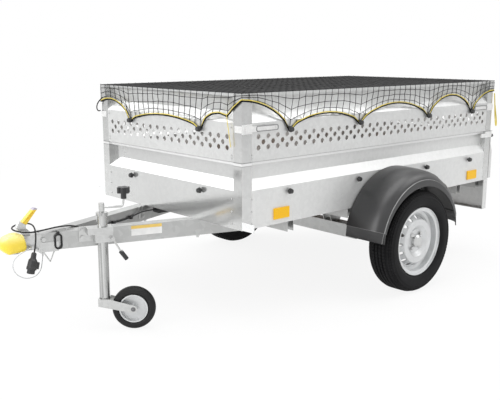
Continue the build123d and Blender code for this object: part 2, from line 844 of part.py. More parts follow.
# Coupling: plates round the beams' nose, a housing and the cup that takes the ball
coupling_width = 56
coupling_plate = 6
coupling_plate_run = 120
collar_run = 69
collar_front = 12
collar_sheet = 4
collar_low = 6
collar_high = 38
collar_bolt_inset = 6
collar_bolt_rise = 52
bolt_head = 8
bolt_head_radius = 10.5
top_bolt_lead = 9
anchor_rear_inset = 49
anchor_length = 16
anchor_out = 32
anchor_z = 420
pin_inset = 29
pin_radius = 4
pin_out = 34
pin_z = 410
housing_width = 48
housing_low = 404
housing_high = 470
cup_lead = 125
ball_radius = 25
cup_wall = 6
cup_low = 400
cup_top = 462
ball_depth = 38
cup_x = beam_front_x - cup_lead
cup_radius = ball_radius + cup_wall
collar_across = beam_across + collar_sheet
collar_rear_x = beam_front_x + collar_run
with BuildPart() as coupling:
    with BuildSketch(Plane.XY.offset(wall_bottom)):
        with Locations(((beam_front_x + coupling_plate_run - collar_front) / 2 + beam_front_x / 2, 0)):
            Rectangle(coupling_plate_run + collar_front, coupling_width)
    extrude(amount=coupling_plate)
    with BuildSketch(Plane.YZ.offset(cup_x)):
        with Locations((0, (housing_low + housing_high) / 2)):
            Rectangle(housing_width, housing_high - housing_low)
    extrude(amount=beam_front_x - cup_x)
    with BuildSketch(Plane.XY.offset(beam_bottom - collar_low)):
        with BuildLine():
            Polyline(
                (beam_front_x - collar_front, -collar_across - beam_middle(beam_front_x)),
                (beam_front_x, -collar_across - beam_middle(beam_front_x)),
                (collar_rear_x, -collar_across - beam_middle(collar_rear_x)),
                (collar_rear_x, collar_across + beam_middle(collar_rear_x)),
                (beam_front_x, collar_across + beam_middle(beam_front_x)),
                (beam_front_x - collar_front, collar_across + beam_middle(beam_front_x)),
                close=True,
            )
        make_face()
    extrude(amount=collar_low + collar_high)
    with BuildSketch(Plane.XZ.offset(-housing_width / 2 - bolt_head)):
        with Locations((beam_front_x + collar_bolt_inset, beam_bottom + collar_bolt_rise)):
            RegularPolygon(bolt_head_radius, 6)
    extrude(amount=housing_width + 2 * bolt_head)
    with BuildSketch(Plane.XY.offset(beam_bottom)):
        with BuildLine():
            Polyline(
                (beam_front_x, -beam_across - beam_middle(beam_front_x)),
                (collar_rear_x, -beam_across - beam_middle(collar_rear_x)),
                (collar_rear_x, beam_across + beam_middle(collar_rear_x)),
                (beam_front_x, beam_across + beam_middle(beam_front_x)),
                close=True,
            )
        make_face()
    extrude(amount=beam_height, mode=Mode.SUBTRACT)
    with BuildSketch(Plane.XY.offset(wall_bottom + coupling_plate)):
        with Locations((beam_front_x - top_bolt_lead, 0)):
            RegularPolygon(bolt_head_radius, 6)
    extrude(amount=bolt_head)
    with BuildSketch(Plane.XZ.offset(housing_width / 2)):
        with Locations((beam_front_x - anchor_rear_inset - anchor_length / 2, anchor_z)):
            Rectangle(anchor_length, anchor_length)
    extrude(amount=anchor_out)
    with BuildSketch(Plane.XZ.offset(housing_width / 2)):
        with Locations((beam_front_x - pin_inset, pin_z)):
            Circle(pin_radius)
    extrude(amount=pin_out)
    with BuildSketch(Plane.XY.offset(cup_low)):
        with Locations((cup_x, 0)):
            Circle(cup_radius)
    extrude(amount=cup_top - cup_low)
    with BuildSketch(Plane.XY.offset(cup_low)):
        with Locations((cup_x, 0)):
            Circle(ball_radius)
    extrude(amount=ball_depth, mode=Mode.SUBTRACT)
coupling.part.label = "coupling_head"
export_step(coupling.part, "parts/coupling_head.step")

# Soft dock: a rounded cover over the cup and the front of the housing
dock_low = 402
dock_half = 39
dock_run = 106
dock_front_x = axle_x - nose_reach
dock_rear_x = dock_front_x + dock_run
# reach behind the nose, height
dock_side = (
    (0, 427),
    (1, 457),
    (28, 477),
    (54, 486),
    (80, 485),
    (96, 478),
    (106, 421),
    (96, 406),
    (24, 402),
)
# distance from the centre plane, height
dock_section = (
    (-32, 400),
    (-39, 412),
    (-39, 450),
    (-34, 470),
    (-22, 488),
    (22, 488),
    (34, 470),
    (39, 450),
    (39, 412),
    (32, 400),
)
with BuildPart() as dock:
    with BuildSketch(Plane.XY.offset(dock_low)):
        with BuildLine():
            Polyline(
                (dock_front_x + dock_half, -dock_half),
                (dock_rear_x, -dock_half),
                (dock_rear_x, dock_half),
                (dock_front_x + dock_half, dock_half),
            )
            ThreePointArc(
                (dock_front_x + dock_half, dock_half),
                (dock_front_x, 0),
                (dock_front_x + dock_half, -dock_half),
            )
        make_face()
    extrude(amount=dock_run)
    with BuildSketch(Plane.XZ.offset(-dock_half)):
        with BuildLine():
            Polyline(*[(dock_front_x + reach, z) for reach, z in dock_side], close=True)
        make_face()
    extrude(amount=2 * dock_half, mode=Mode.INTERSECT)
    with BuildSketch(Plane.YZ.offset(dock_front_x)):
        with BuildLine():
            Polyline(*dock_section, close=True)
        make_face()
    extrude(amount=dock_run, mode=Mode.INTERSECT)
    with BuildSketch(Plane.XY.offset(dock_low - overrun)):
        with Locations((cup_x, 0)):
            Circle(cup_radius + seat_gap)
    extrude(amount=cup_top + seat_gap - dock_low + overrun, mode=Mode.SUBTRACT)
    with BuildSketch(Plane.XY.offset(dock_low - overrun)):
        with Locations(((cup_x + dock_rear_x + overrun) / 2, 0)):
            Rectangle(dock_rear_x + overrun - cup_x, housing_width + 2 * seat_gap)
    extrude(amount=housing_high + seat_gap - dock_low + overrun, mode=Mode.SUBTRACT)
dock.part.label = "soft_dock"
export_step(dock.part, "parts/soft_dock.step")

# Coupling handle and its grip, leaning back over the housing
handle_lead = 108
handle_width = 20
grip_width = 26
slot_length = 44
slot_width = 7
slot_depth = 4
grip_low = (46, 47)
grip_front = (27, 59)
grip_tip = (90, 119)
grip_rear = (103, 112)
# reach behind the handle's front edge, height over the housing
handle_side = (
    (36, 0),
    (62, 0),
    (62, 16),
    (44, 32),
    grip_low,
    grip_front,
    (18, 69),
    (3, 40),
    (12, 22),
)


def handle_points(points):
    return [(beam_front_x - handle_lead + reach, housing_high + z) for reach, z in points]


with BuildPart() as handle:
    with BuildSketch(Plane.XZ.offset(-handle_width / 2)):
        with BuildLine():
            Polyline(*handle_points(handle_side), close=True)
        make_face()
    extrude(amount=handle_width)
handle.part.label = "coupling_handle"
export_step(handle.part, "parts/coupling_handle.step")

grip_points = handle_points((grip_low, grip_front, grip_tip, grip_rear))
grip_middle = sum((Vector(*point) for point in grip_points), Vector(0, 0)) / len(grip_points)
grip_lean = degrees(atan2(grip_tip[1] - grip_front[1], grip_tip[0] - grip_front[0]))
with BuildPart() as grip:
    with BuildSketch(Plane.XZ.offset(-grip_width / 2)):
        with BuildLine():
            Polyline(*grip_points, close=True)
        make_face()
    extrude(amount=grip_width)
    for start in (-grip_width / 2, grip_width / 2 - slot_depth):
        with BuildSketch(Plane.XZ.offset(start)):
            with Locations(Location((grip_middle.X, grip_middle.Y, 0), (0, 0, grip_lean))):
                SlotOverall(slot_length, slot_width)
        extrude(amount=slot_depth, mode=Mode.SUBTRACT)
grip.part.label = "handle_grip"
export_step(grip.part, "parts/handle_grip.step")

# Drawbar lead: it leaves its box under the floor, runs along the far beam through clips,
# comes out on top of the coupling, goes once round the handle and hangs with its plug
lead_radius = 3.5
lead_clear = 3.6
lead_bend_share = 0.45
box_length = 62
box_width = 52
box_height = 40
box_gap = 40
box_y = 148
lead_box_z = 448
box_x = front_x + box_gap
gland_radius = 8
gland_length = 14
clip_wall = 3
clip_gap = 1.5
clip_length = 14
clip_z = 430
clip_share = (0.711, 0.458, 0.202)
sag_share = (0.577, 0.33)
sag_z = 427
last_share = 0.083
last_z = 438
lead_open = 211
lead_turn = 99
lead_rise = (73, 2, 1)


def bends(points):
    """One radius per inner corner: the largest that the shorter run beside it takes."""
    corners = [Vector(*point) for point in points]
    radii = []
    for before, corner, after in zip(corners, corners[1:], corners[2:]):
        turn = radians((corner - before).get_angle(after - corner))
        shorter = min((corner - before).length, (after - corner).length)
        radii.append(lead_bend_share * shorter / tan(turn / 2))
    return radii


def beam_inside(x, clear):
    """Distance from the centre plane of a line beside the far beam's inner face."""
    return beam_middle(x) - beam_across - clear / cos(radians(drawbar_angle))


lead_line = lead_radius + lead_clear
lead_open_x = beam_front_x + lead_open


def beside_beam(share, z):
    """A point of the lead beside the far beam, part of the way from the V to the box."""
    x = lead_open_x + share * (box_x - gland_length - lead_open_x)
    return (x, beam_inside(x, lead_line), z)


# reach behind the beams' front end, distance from the centre plane, height
lead_nose = (
    (211, 15, 457),
    (163, 0, 478),
    (94, -4, 484),
    (29, -14, 483),
    (-17, -32, 485),
    (-59, -42, 488),
    (-95, -38, 494),
    (-118, -14, 500),
    (-119, 18, 505),
    (-97, 42, 509),
    (-63, 44, 513),
    (-37, 24, 515),
    (-31, -10, 512),
    (-37, -44, 498),
    (-48, -68, 466),
    (-57, -78, 434),
    (-64, -78, 406),
)
lead_points = [
    (box_x - gland_length, box_y, lead_box_z),
    (box_x - lead_rise[0], box_y + lead_rise[1], lead_box_z + lead_rise[2]),
    (box_x - lead_turn - gland_length, beam_inside(box_x - lead_turn - gland_length, lead_line), last_z),
    beside_beam(clip_share[0], clip_z),
    beside_beam(sag_share[0], sag_z),
    beside_beam(clip_share[1], clip_z),
    beside_beam(sag_share[1], sag_z),
    beside_beam(clip_share[2], clip_z),
    beside_beam(last_share, last_z),
]
lead_points += [(beam_front_x + reach, y, z) for reach, y, z in lead_nose]
lead_radii = bends(lead_points)
with BuildPart() as lead:
    with BuildLine() as lead_path:
        FilletPolyline(*lead_points, radius=lead_radii)
    with BuildSketch(Plane(origin=lead_path.line @ 0, z_dir=lead_path.line % 0)):
        Circle(lead_radius)
    sweep()
lead.part.label = "lighting_cable"
export_step(lead.part, "parts/lighting_cable.step")
lead_length = sum(edge.length for edge in lead_path.edges())
print("lead radii", [round(radius, 1) for radius in lead_radii])
print("lead length", lead_length, "volume over section", lead.part.volume / (pi * lead_radius**2))

# The lead's plug: turned about the lead's own end, with a latch lug on one side
# radius, distance along the plug
plug_profile = (
    (0, 0),
    (9, 0),
    (11, 5),
    (12, 24),
    (19, 34),
    (21, 62),
    (22, 63),
    (22, 74),
    (17, 76),
    (17, 92),
    (0, 92),
)
lug_low = 40
lug_high = 70
lug_out = 30
lug_width = 18
plug_way = Vector(*lead_points[-1]) - Vector(*lead_points[-2])
plug_side = Plane(
    origin=lead_points[-1],
    x_dir=plug_way.cross(Vector(0, 1, 0)),
    z_dir=plug_way.cross(Vector(0, 1, 0)).cross(plug_way),
)
with BuildPart() as plug:
    with BuildSketch(plug_side):
        with BuildLine():
            Polyline(*plug_profile, close=True)
        make_face()
    revolve(axis=Axis(lead_points[-1], plug_way))
    with BuildSketch(plug_side.offset(-lug_width / 2)):
        with Locations((lug_out / 2, (lug_low + lug_high) / 2)):
            Rectangle(lug_out, lug_high - lug_low)
    extrude(amount=lug_width)
plug.part.label = "cable_plug"
export_step(plug.part, "parts/cable_plug.step")

# What holds the lead: the box and its gland under the floor, and clips on the far beam
with BuildPart() as fixings:
    with BuildSketch(Plane.XY.offset(wall_bottom + sheet)):
        with Locations((box_x + box_length / 2, box_y)):
            Rectangle(box_length, box_width)
    extrude(amount=-box_height)
    with BuildSketch(Plane.YZ.offset(box_x)):
        with Locations((box_y, lead_box_z)):
            Circle(gland_radius)
    extrude(amount=-gland_length)
    for share in clip_share:
        way = Vector(cos(radians(drawbar_angle)), sin(radians(drawbar_angle)), 0)
        spot = Vector(*beside_beam(share, clip_z))
        across_way = Vector(0, 0, 1).cross(way)
        with BuildSketch(Plane(origin=spot - way * clip_length / 2, x_dir=across_way, z_dir=way)):
            with Locations(((lead_line - lead_radius - clip_gap - clip_wall) / 2, 0)):
                Rectangle(
                    lead_line + lead_radius + clip_gap + clip_wall,
                    2 * (lead_radius + clip_gap + clip_wall),
                )
            Circle(lead_radius + clip_gap, mode=Mode.SUBTRACT)
        extrude(amount=clip_length)
fixings.part.label = "cable_fixings"
export_step(fixings.part, "parts/cable_fixings.step")

# Safety cable: a loop of sheathed wire from a lug on the housing to its spring hook
safety_radius = 2
ferrule_radius = 3.5
ferrule_length = 14
safety_y = -50
hook_inset = 21.7
hook_end_inset = 10.1
hook_centre = (beam_front_x - hook_inset, safety_y, 402.2)
hook_lean = -47
hook_length = 38
hook_width = 18
hook_rod = 4
hook_end = (beam_front_x - hook_end_inset, safety_y, 389.8)
safety_start = (beam_front_x - anchor_rear_inset - anchor_length, safety_y, anchor_z)
start_way = Vector(-51, 0, -15).normalized()
end_way = Vector(5, 0, 34).normalized()
# reach ahead of the beams' front end, height
safety_loop = ((129, 401), (156, 364), (142, 317), (99, 288), (53, 288), (24, 312))
safety_points = [
    tuple(Vector(*safety_start) + start_way * ferrule_length),
    *[(beam_front_x - reach, safety_y, z) for reach, z in safety_loop],
    tuple(Vector(*hook_end) - end_way * ferrule_length * 3),
    tuple(Vector(*hook_end) - end_way * ferrule_length),
]
safety_radii = bends(safety_points)
with BuildPart() as safety:
    with BuildLine() as safety_path:
        FilletPolyline(*safety_points, radius=safety_radii)
    with BuildSketch(Plane(origin=safety_path.line @ 0, z_dir=safety_path.line % 0)):
        Circle(safety_radius)
    sweep()
safety.part.label = "safety_cable"
export_step(safety.part, "parts/safety_cable.step")
safety_length = sum(edge.length for edge in safety_path.edges())
print("safety radii", [round(radius, 1) for radius in safety_radii])
print("safety length", safety_length, "volume over section", safety.part.volume / (pi * safety_radius**2))

with BuildPart() as hook:
    with BuildSketch(Plane(origin=(0, safety_y + hook_rod / 2, 0), x_dir=(1, 0, 0), z_dir=(0, -1, 0))):
        with Locations(Location((hook_centre[0], hook_centre[2], 0), (0, 0, hook_lean))):
            SlotOverall(hook_length, hook_width)
            SlotOverall(hook_length - 2 * hook_rod, hook_width - 2 * hook_rod, mode=Mode.SUBTRACT)
    extrude(amount=hook_rod)
    with BuildSketch(Plane(origin=Vector(*hook_end) - end_way * ferrule_length, z_dir=end_way)):
        Circle(ferrule_radius)
    extrude(amount=ferrule_length)
hook.part.label = "safety_hook"
export_step(hook.part, "parts/safety_hook.step")

with BuildPart() as ferrule:
    with BuildSketch(Plane(origin=safety_points[0], z_dir=-start_way)):
        Circle(ferrule_radius)
    extrude(until=Until.NEXT, target=coupling.part)
ferrule.part.label = "safety_ferrule"
export_step(ferrule.part, "parts/safety_ferrule.step")

# A bent rod under the nose, and a rubber ring on the near beam with its tab over the top
rest_radius = 3
rest_y = -18
rest_reach = (7, 38, 63)
rest_low = 334
rest_high = beam_bottom - collar_low
rest_points = [(beam_front_x + reach, z) for reach, z in zip(rest_reach, (rest_high, rest_low, rest_high))]
with BuildPart() as rest:
    for (start_x, start_z), (end_x, end_z) in (
        (rest_points[1], rest_points[0]),
        (rest_points[1], rest_points[2]),
    ):
        start = Vector(start_x, rest_y, start_z)
        run = Vector(end_x, rest_y, end_z) - start
        with BuildSketch(Plane(origin=start, z_dir=run)):
            Circle(rest_radius)
        extrude(amount=run.length + overrun)
    with Locations((rest_points[1][0], rest_y, rest_points[1][1])):
        Sphere(rest_radius)
    split(bisect_by=Plane.XY.offset(rest_high), keep=Keep.BOTTOM)
rest.part.label = "drawbar_hook"
export_step(rest.part, "parts/drawbar_hook.step")

ring_inset = 69
ring_half = 14
ring_low = 392
ring_high = 464
ring_radius = 4
ring_tab = 12
ring_tab_sheet = 3
ring_tab_in = 11
ring_out = collar_sheet + ring_radius + running_gap
near_way = Vector(cos(radians(drawbar_angle)), -sin(radians(drawbar_angle)), 0)
near_out = Vector(-sin(radians(drawbar_angle)), -cos(radians(drawbar_angle)), 0)
ring_x = beam_front_x + ring_inset
ring_spot = Vector(ring_x, -beam_middle(ring_x) - beam_across, 0)
ring_plane = Plane(origin=ring_spot + near_out * ring_out, x_dir=near_way, z_dir=near_out)
with BuildPart() as ring:
    with BuildLine(ring_plane) as ring_path:
        FilletPolyline(
            (-ring_half, ring_low + ring_radius),
            (ring_half, ring_low + ring_radius),
            (ring_half, ring_high - ring_radius),
            (-ring_half, ring_high - ring_radius),
            radius=ring_half - 1,
            close=True,
        )
    with BuildSketch(Plane(origin=ring_path.line @ 0, z_dir=ring_path.line % 0)):
        Circle(ring_radius)
    sweep()
    tab_plane = Plane(origin=ring_spot + near_way * ring_tab / 2, x_dir=near_out, z_dir=-near_way)
    tab_out = ring_out + ring_radius
    with BuildSketch(tab_plane):
        with BuildLine():
            Polyline(
                (-ring_tab_in, wall_bottom),
                (0, wall_bottom),
                (0, ring_high - 2 * ring_radius),
                (tab_out, ring_high - 2 * ring_radius),
                (tab_out, wall_bottom + ring_tab_sheet),
                (-ring_tab_in, wall_bottom + ring_tab_sheet),
                close=True,
            )
        make_face()
    extrude(amount=ring_tab)
ring.part.label = "drawbar_ring"
export_step(ring.part, "parts/drawbar_ring.step")

# Jockey wheel
jockey_set_back = 243
clamp_seat = 28.77
tube_radius = 24
tube_wall = 3
tube_low = 150
tube_high = 540
leg_radius = tube_radius - tube_wall - running_gap
leg_wall = 3
leg_length = 372
leg_bottom = tube_low - 2
jockey_x = beam_front_x + jockey_set_back
jockey_y = -beam_middle(jockey_x) - (beam_width / 2 + clamp_seat) / cos(radians(drawbar_angle))


def jockey_plane(z):
    return Plane(origin=(jockey_x, jockey_y, z))


# The clamp: local X runs back along the beam, local Y away from it
clamp_block = 40
clamp_out = 33
clamp_low = 416
clamp_neck = 456
clamp_high = 485
flange_front = 72
flange_rear = 42
flange_out = 36
clamp_plate = 6
clamp_plate_front = 102
clamp_plate_rear = 48
clamp_bolt_lead = 87
clamp_bolt_spread = 32
lever_out = 18
lever_pivot = (35, 434)
lever_end = (68, 374)
lever_tip = (95, 335)
lever_radius = 4
lever_grip_radius = 10
pivot_radius = 9
clamp_way = Vector(cos(radians(drawbar_angle)), -sin(radians(drawbar_angle)), 0)
clamp_outward = Vector(-sin(radians(drawbar_angle)), -cos(radians(drawbar_angle)), 0)


def clamp_section(z):
    return Plane(origin=(jockey_x, jockey_y, z), x_dir=clamp_way, z_dir=(0, 0, -1))


def clamp_face(out):
    """Upright plane along the beam, at a distance out from the tube's axis."""
    origin = Vector(jockey_x, jockey_y, 0) + clamp_outward * out
    return Plane(origin=origin, x_dir=clamp_way, z_dir=clamp_outward)


with BuildPart() as clamp:
    for front, rear, out, low, high in (
        (clamp_block, clamp_block, clamp_out, clamp_low, clamp_neck),
        (flange_front, flange_rear, flange_out, clamp_neck, clamp_high),
        (clamp_plate_front, clamp_plate_rear, clamp_plate - clamp_seat, clamp_low, clamp_high),
    ):
        with BuildSketch(clamp_section(high)):
            with Locations(((rear - front) / 2, (out - clamp_seat) / 2)):
                Rectangle(front + rear, out + clamp_seat)
        extrude(amount=high - low)
    with BuildSketch(clamp_section(clamp_high + overrun)):
        Circle(tube_radius + running_gap)
    extrude(amount=clamp_high - clamp_low + 2 * overrun, mode=Mode.SUBTRACT)
    with BuildSketch(clamp_face(clamp_plate - clamp_seat)):
        with Locations((-clamp_bolt_lead, (clamp_low + clamp_high) / 2)):
            with GridLocations(clamp_bolt_spread, clamp_bolt_spread, 1, 2):
                RegularPolygon(bolt_head_radius, 6)
    extrude(amount=bolt_head)
    with BuildSketch(clamp_face(clamp_out)):
        with Locations(lever_pivot):
            Circle(pivot_radius)
    extrude(amount=lever_out)
clamp.part.label = "jockey_clamp"
export_step(clamp.part, "parts/jockey_clamp.step")

lever_face = clamp_face(clamp_out + lever_out + lever_radius)
lever_points = [lever_face.from_local_coords((x, z, 0)) for x, z in (lever_pivot, lever_end, lever_tip)]
with BuildPart() as lever:
    for start, end, radius in (
        (lever_points[0], lever_points[1], lever_radius),
        (lever_points[1], lever_points[2], lever_grip_radius),
    ):
        run = end - start
        with BuildSketch(Plane(origin=start, z_dir=run)):
            Circle(radius)
        extrude(amount=run.length)
    with BuildSketch(clamp_face(clamp_out + lever_out)):
        with Locations(lever_pivot):
            Circle(pivot_radius)
    extrude(amount=2 * lever_radius)
lever.part.label = "clamp_lever"
export_step(lever.part, "parts/clamp_lever.step")

head_radius = 27
head_low = 536
head_high = 549
boss_radius = 10
boss_high = 556
with BuildPart() as tube:
    with BuildSketch(jockey_plane(tube_low)):
        Circle(tube_radius)
        Circle(tube_radius - tube_wall, mode=Mode.SUBTRACT)
    extrude(amount=tube_high - tube_low)
    with BuildSketch(jockey_plane(head_low)):
        Circle(head_radius)
    extrude(amount=head_high - head_low)
    with BuildSketch(jockey_plane(head_high)):
        Circle(boss_radius)
    extrude(amount=boss_high - head_high)
tube.part.label = "jockey_tube"
export_step(tube.part, "parts/jockey_tube.step")

crank_hub_radius = 13
crank_hub_height = 36
crank_reach = 106
crank_drop = 6
crank_start = 16
crank_radius = 5
crank_bend = 14
crank_turn = -13
knob_base = 46
knob_stem_height = 26
grip_stem_radius = 13
star_radius = 22
star_lobes = 6
star_lobe_radius = 8
star_height = 27
crank_plane = jockey_plane(boss_high).rotated((0, 0, crank_turn))
crank_side = Plane(origin=crank_plane.origin, x_dir=crank_plane.x_dir, z_dir=-crank_plane.y_dir)
with BuildPart() as crank:
    with BuildSketch(crank_plane):
        Circle(crank_hub_radius)
    extrude(amount=crank_hub_height)
    with BuildLine(crank_side):
        FilletPolyline(
            (0, crank_start),
            (crank_reach - crank_drop, crank_start - crank_drop),
            (crank_reach, knob_base),
            radius=crank_bend,
        )
    with BuildSketch(Plane(origin=crank_side.from_local_coords((0, crank_start, 0)), z_dir=crank_side.x_dir)):
        Circle(crank_radius)
    sweep()
crank.part.label = "jockey_crank"
export_step(crank.part, "parts/jockey_crank.step")

with BuildPart() as crank_knob:
    with BuildSketch(crank_plane.offset(knob_base)):
        with Locations((crank_reach, 0)):
            Circle(grip_stem_radius)
    extrude(amount=knob_stem_height)
    with BuildSketch(crank_plane.offset(knob_base + knob_stem_height)):
        with Locations((crank_reach, 0)):
            Circle(star_radius)
            with PolarLocations(star_radius, star_lobes):
                Circle(star_lobe_radius)
    extrude(amount=star_height)
crank_knob.part.label = "crank_knob"
export_step(crank_knob.part, "parts/crank_knob.step")

with BuildPart() as leg:
    with BuildSketch(jockey_plane(leg_bottom)):
        Circle(leg_radius)
        Circle(leg_radius - leg_wall, mode=Mode.SUBTRACT)
    extrude(amount=leg_length)
leg.part.label = "jockey_leg"
export_step(leg.part, "parts/jockey_leg.step")

# Fork: local X is the way the wheel trails, local Y across the wheel
fork_turn = -41
trail = 133
castor_radius = 100
castor_width = 50
fork_sheet = 4
fork_back = 26
fork_front = 24
fork_depth = 34
fork_boss = 18
crown_sheet = 6
kingpin_radius = leg_radius - leg_wall - running_gap
kingpin_height = 40
castor_axle_radius = 6
fork_top = leg_bottom - running_gap
fork_half = castor_width / 2 + moving_gap
fork_plane = Plane(origin=(jockey_x, jockey_y, 0)).rotated((0, 0, fork_turn))
fork_side = Plane(origin=fork_plane.origin, x_dir=fork_plane.x_dir, z_dir=-fork_plane.y_dir)
with BuildPart() as fork:
    for start in (fork_half, -fork_half - fork_sheet):
        with BuildSketch(fork_side.offset(start)):
            with Locations(((fork_front - fork_back) / 2, fork_top - fork_depth / 2)):
                Rectangle(fork_front + fork_back, fork_depth)
            with Locations((trail, castor_radius)):
                Circle(fork_boss)
            make_hull()
        extrude(amount=fork_sheet)
    with BuildSketch(fork_plane.offset(fork_top - crown_sheet)):
        with Locations(((fork_front - fork_back) / 2, 0)):
            Rectangle(fork_front + fork_back, 2 * (fork_half + fork_sheet))
    extrude(amount=crown_sheet)
    with BuildSketch(fork_plane.offset(fork_top - fork_depth)):
        with Locations((-fork_back + fork_sheet / 2, 0)):
            Rectangle(fork_sheet, 2 * (fork_half + fork_sheet))
    extrude(amount=fork_depth)
    with BuildSketch(fork_plane.offset(fork_top)):
        Circle(kingpin_radius)
    extrude(amount=kingpin_height)
    with BuildSketch(fork_side.offset(-fork_half - fork_sheet)):
        with Locations((trail, castor_radius)):
            Circle(castor_axle_radius)
    extrude(amount=2 * (fork_half + fork_sheet))
fork.part.label = "jockey_fork"
export_step(fork.part, "parts/jockey_fork.step")

castor_rim_radius = 66
castor_hub_radius = 17
castor_web = 8
castor_lip = 5
castor_shoulder = 10
wheel_side = Plane(
    origin=fork_side.origin + fork_plane.x_dir * trail + Vector(0, 0, castor_radius),
    x_dir=fork_side.x_dir,
    z_dir=fork_side.z_dir,
)
castor_spin = Axis(wheel_side.origin, wheel_side.z_dir)
turn_plane = Plane(origin=wheel_side.origin, x_dir=wheel_side.z_dir, z_dir=fork_plane.x_dir)
half_castor = castor_width / 2
with BuildPart() as castor_tyre:
    with BuildSketch(turn_plane):
        with BuildLine():
            Polyline(
                (-half_castor, castor_rim_radius + seat_gap),
                (-half_castor, castor_radius - castor_shoulder),
                (-half_castor + castor_shoulder, castor_radius),
                (half_castor - castor_shoulder, castor_radius),
                (half_castor, castor_radius - castor_shoulder),
                (half_castor, castor_rim_radius + seat_gap),
                close=True,
            )
        make_face()
    revolve(axis=castor_spin)
castor_tyre.part.label = "jockey_tyre"
export_step(castor_tyre.part, "parts/jockey_tyre.step")

with BuildPart() as castor_rim:
    with BuildSketch(turn_plane):
        with Locations((0, (castor_hub_radius + castor_axle_radius + running_gap) / 2)):
            Rectangle(castor_width, castor_hub_radius - castor_axle_radius - running_gap)
        with Locations((0, (castor_hub_radius + castor_rim_radius) / 2)):
            Rectangle(castor_web, castor_rim_radius - castor_hub_radius)
        with Locations((0, castor_rim_radius - castor_lip / 2)):
            Rectangle(castor_width, castor_lip)
    revolve(axis=castor_spin)
castor_rim.part.label = "jockey_rim"
export_step(castor_rim.part, "parts/jockey_rim.step")

# Cover net: a top over the whole rim, and skirts that reach down to the knobs
net_thickness = 4
net_under = extension_top + seat_gap
net_half = half_width + seat_gap + net_thickness
net_front_x = front_x - seat_gap - net_thickness
net_rear_x = rear_x + seat_gap + net_thickness
# share of the way from a corner to its knob, drop below the rim
first_side_crest = (0.527, 65)
last_side_crest = (0.58, 89)
side_crest_drops = (111, 89, 68)
near_end_crest = (0.476, 99)
far_end_crest = (0.52, 79)
end_crest_drops = (127,)
near_corner_drop = 31
far_corner_drop = 89
rear_corner_drop = 59
skirt_low = high_knob_z + knob_stem_radius + seat_gap
with BuildPart() as net_top:
    with BuildSketch(Plane.XY.offset(net_under)):
        with Locations(((net_front_x + net_rear_x) / 2, 0)):
            Rectangle(net_rear_x - net_front_x, 2 * net_half)
    extrude(amount=net_thickness)
net_top.part.label = "net_top"
export_step(net_top.part, "parts/net_top.step")


def scallops(corners, knobs, corner_drops, end_crests, crest_drops):
    """The arcs of a skirt's edge: corner, first knob, the next knobs, corner."""
    starts = [(x, net_under - drop) for x, drop in zip(corners, corner_drops)]
    crests = [
        (x + share * (knob - x), net_under - drop)
        for x, knob, (share, drop) in zip(corners, (knobs[0], knobs[-1]), end_crests)
    ]
    arcs = [(starts[0], crests[0], (knobs[0], skirt_low))]
    for a, b, drop in zip(knobs, knobs[1:], crest_drops):
        arcs.append(((a, skirt_low), ((a + b) / 2, net_under - drop), (b, skirt_low)))
    arcs.append(((knobs[-1], skirt_low), crests[1], starts[1]))
    return arcs


end_knobs = [-end_knob_spread, end_knob_spread]
net_inside = net_half - net_thickness - seat_gap
side_planes = [
    Plane.XZ.offset(-sign * (net_half - net_thickness / 2) - net_thickness / 2)
    for side, sign in sides
]
end_planes = [Plane.YZ.offset(x) for x in (net_front_x, net_rear_x - net_thickness)]
side_corners = (net_front_x, net_rear_x)
end_corners = (-net_inside, net_inside)
side_crests = (first_side_crest, last_side_crest)
end_crests = (near_end_crest, far_end_crest)
# plane, corners, knobs, drops of the corners, crests at the ends, drops between the knobs
skirt_places = (
    (side_planes[0], side_corners, side_knobs, (near_corner_drop, rear_corner_drop), side_crests, side_crest_drops),
    (side_planes[1], side_corners, side_knobs, (far_corner_drop, rear_corner_drop), side_crests, side_crest_drops),
    (end_planes[0], end_corners, end_knobs, (near_corner_drop, far_corner_drop), end_crests, end_crest_drops),
    (end_planes[1], end_corners, end_knobs, (rear_corner_drop, rear_corner_drop), end_crests, end_crest_drops),
)
with BuildPart() as skirts:
    for plane, corners, knobs, corner_drops, crests, crest_drops in skirt_places:
        with BuildSketch(plane):
            with BuildLine():
                arcs = scallops(corners, knobs, corner_drops, crests, crest_drops)
                for a, crest, b in arcs:
                    ThreePointArc(a, crest, b)
                Polyline(
                    arcs[-1][-1],
                    (corners[1], net_under),
                    (corners[0], net_under),
                    arcs[0][0],
                )
            make_face()
        extrude(amount=net_thickness)
skirts.part.label = "net_skirts"
export_step(skirts.part, "parts/net_skirts.step")
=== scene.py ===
import json
import math
import random

import bpy
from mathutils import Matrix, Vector


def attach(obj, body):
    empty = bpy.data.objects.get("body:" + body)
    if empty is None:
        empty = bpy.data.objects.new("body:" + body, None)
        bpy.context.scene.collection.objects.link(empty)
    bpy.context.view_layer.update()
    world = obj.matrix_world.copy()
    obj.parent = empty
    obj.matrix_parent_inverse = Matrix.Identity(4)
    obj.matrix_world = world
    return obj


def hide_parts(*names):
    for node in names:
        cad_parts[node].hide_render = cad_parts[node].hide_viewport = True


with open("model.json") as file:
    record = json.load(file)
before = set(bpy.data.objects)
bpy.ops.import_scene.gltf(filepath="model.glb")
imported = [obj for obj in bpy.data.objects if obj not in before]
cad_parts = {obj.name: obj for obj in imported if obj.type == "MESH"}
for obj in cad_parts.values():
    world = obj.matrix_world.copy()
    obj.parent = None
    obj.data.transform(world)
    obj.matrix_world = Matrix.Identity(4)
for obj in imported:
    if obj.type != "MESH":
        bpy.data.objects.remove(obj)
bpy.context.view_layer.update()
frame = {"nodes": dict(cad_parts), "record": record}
nodes = frame["nodes"]
print("stage: frame loaded,", len(nodes), "nodes")

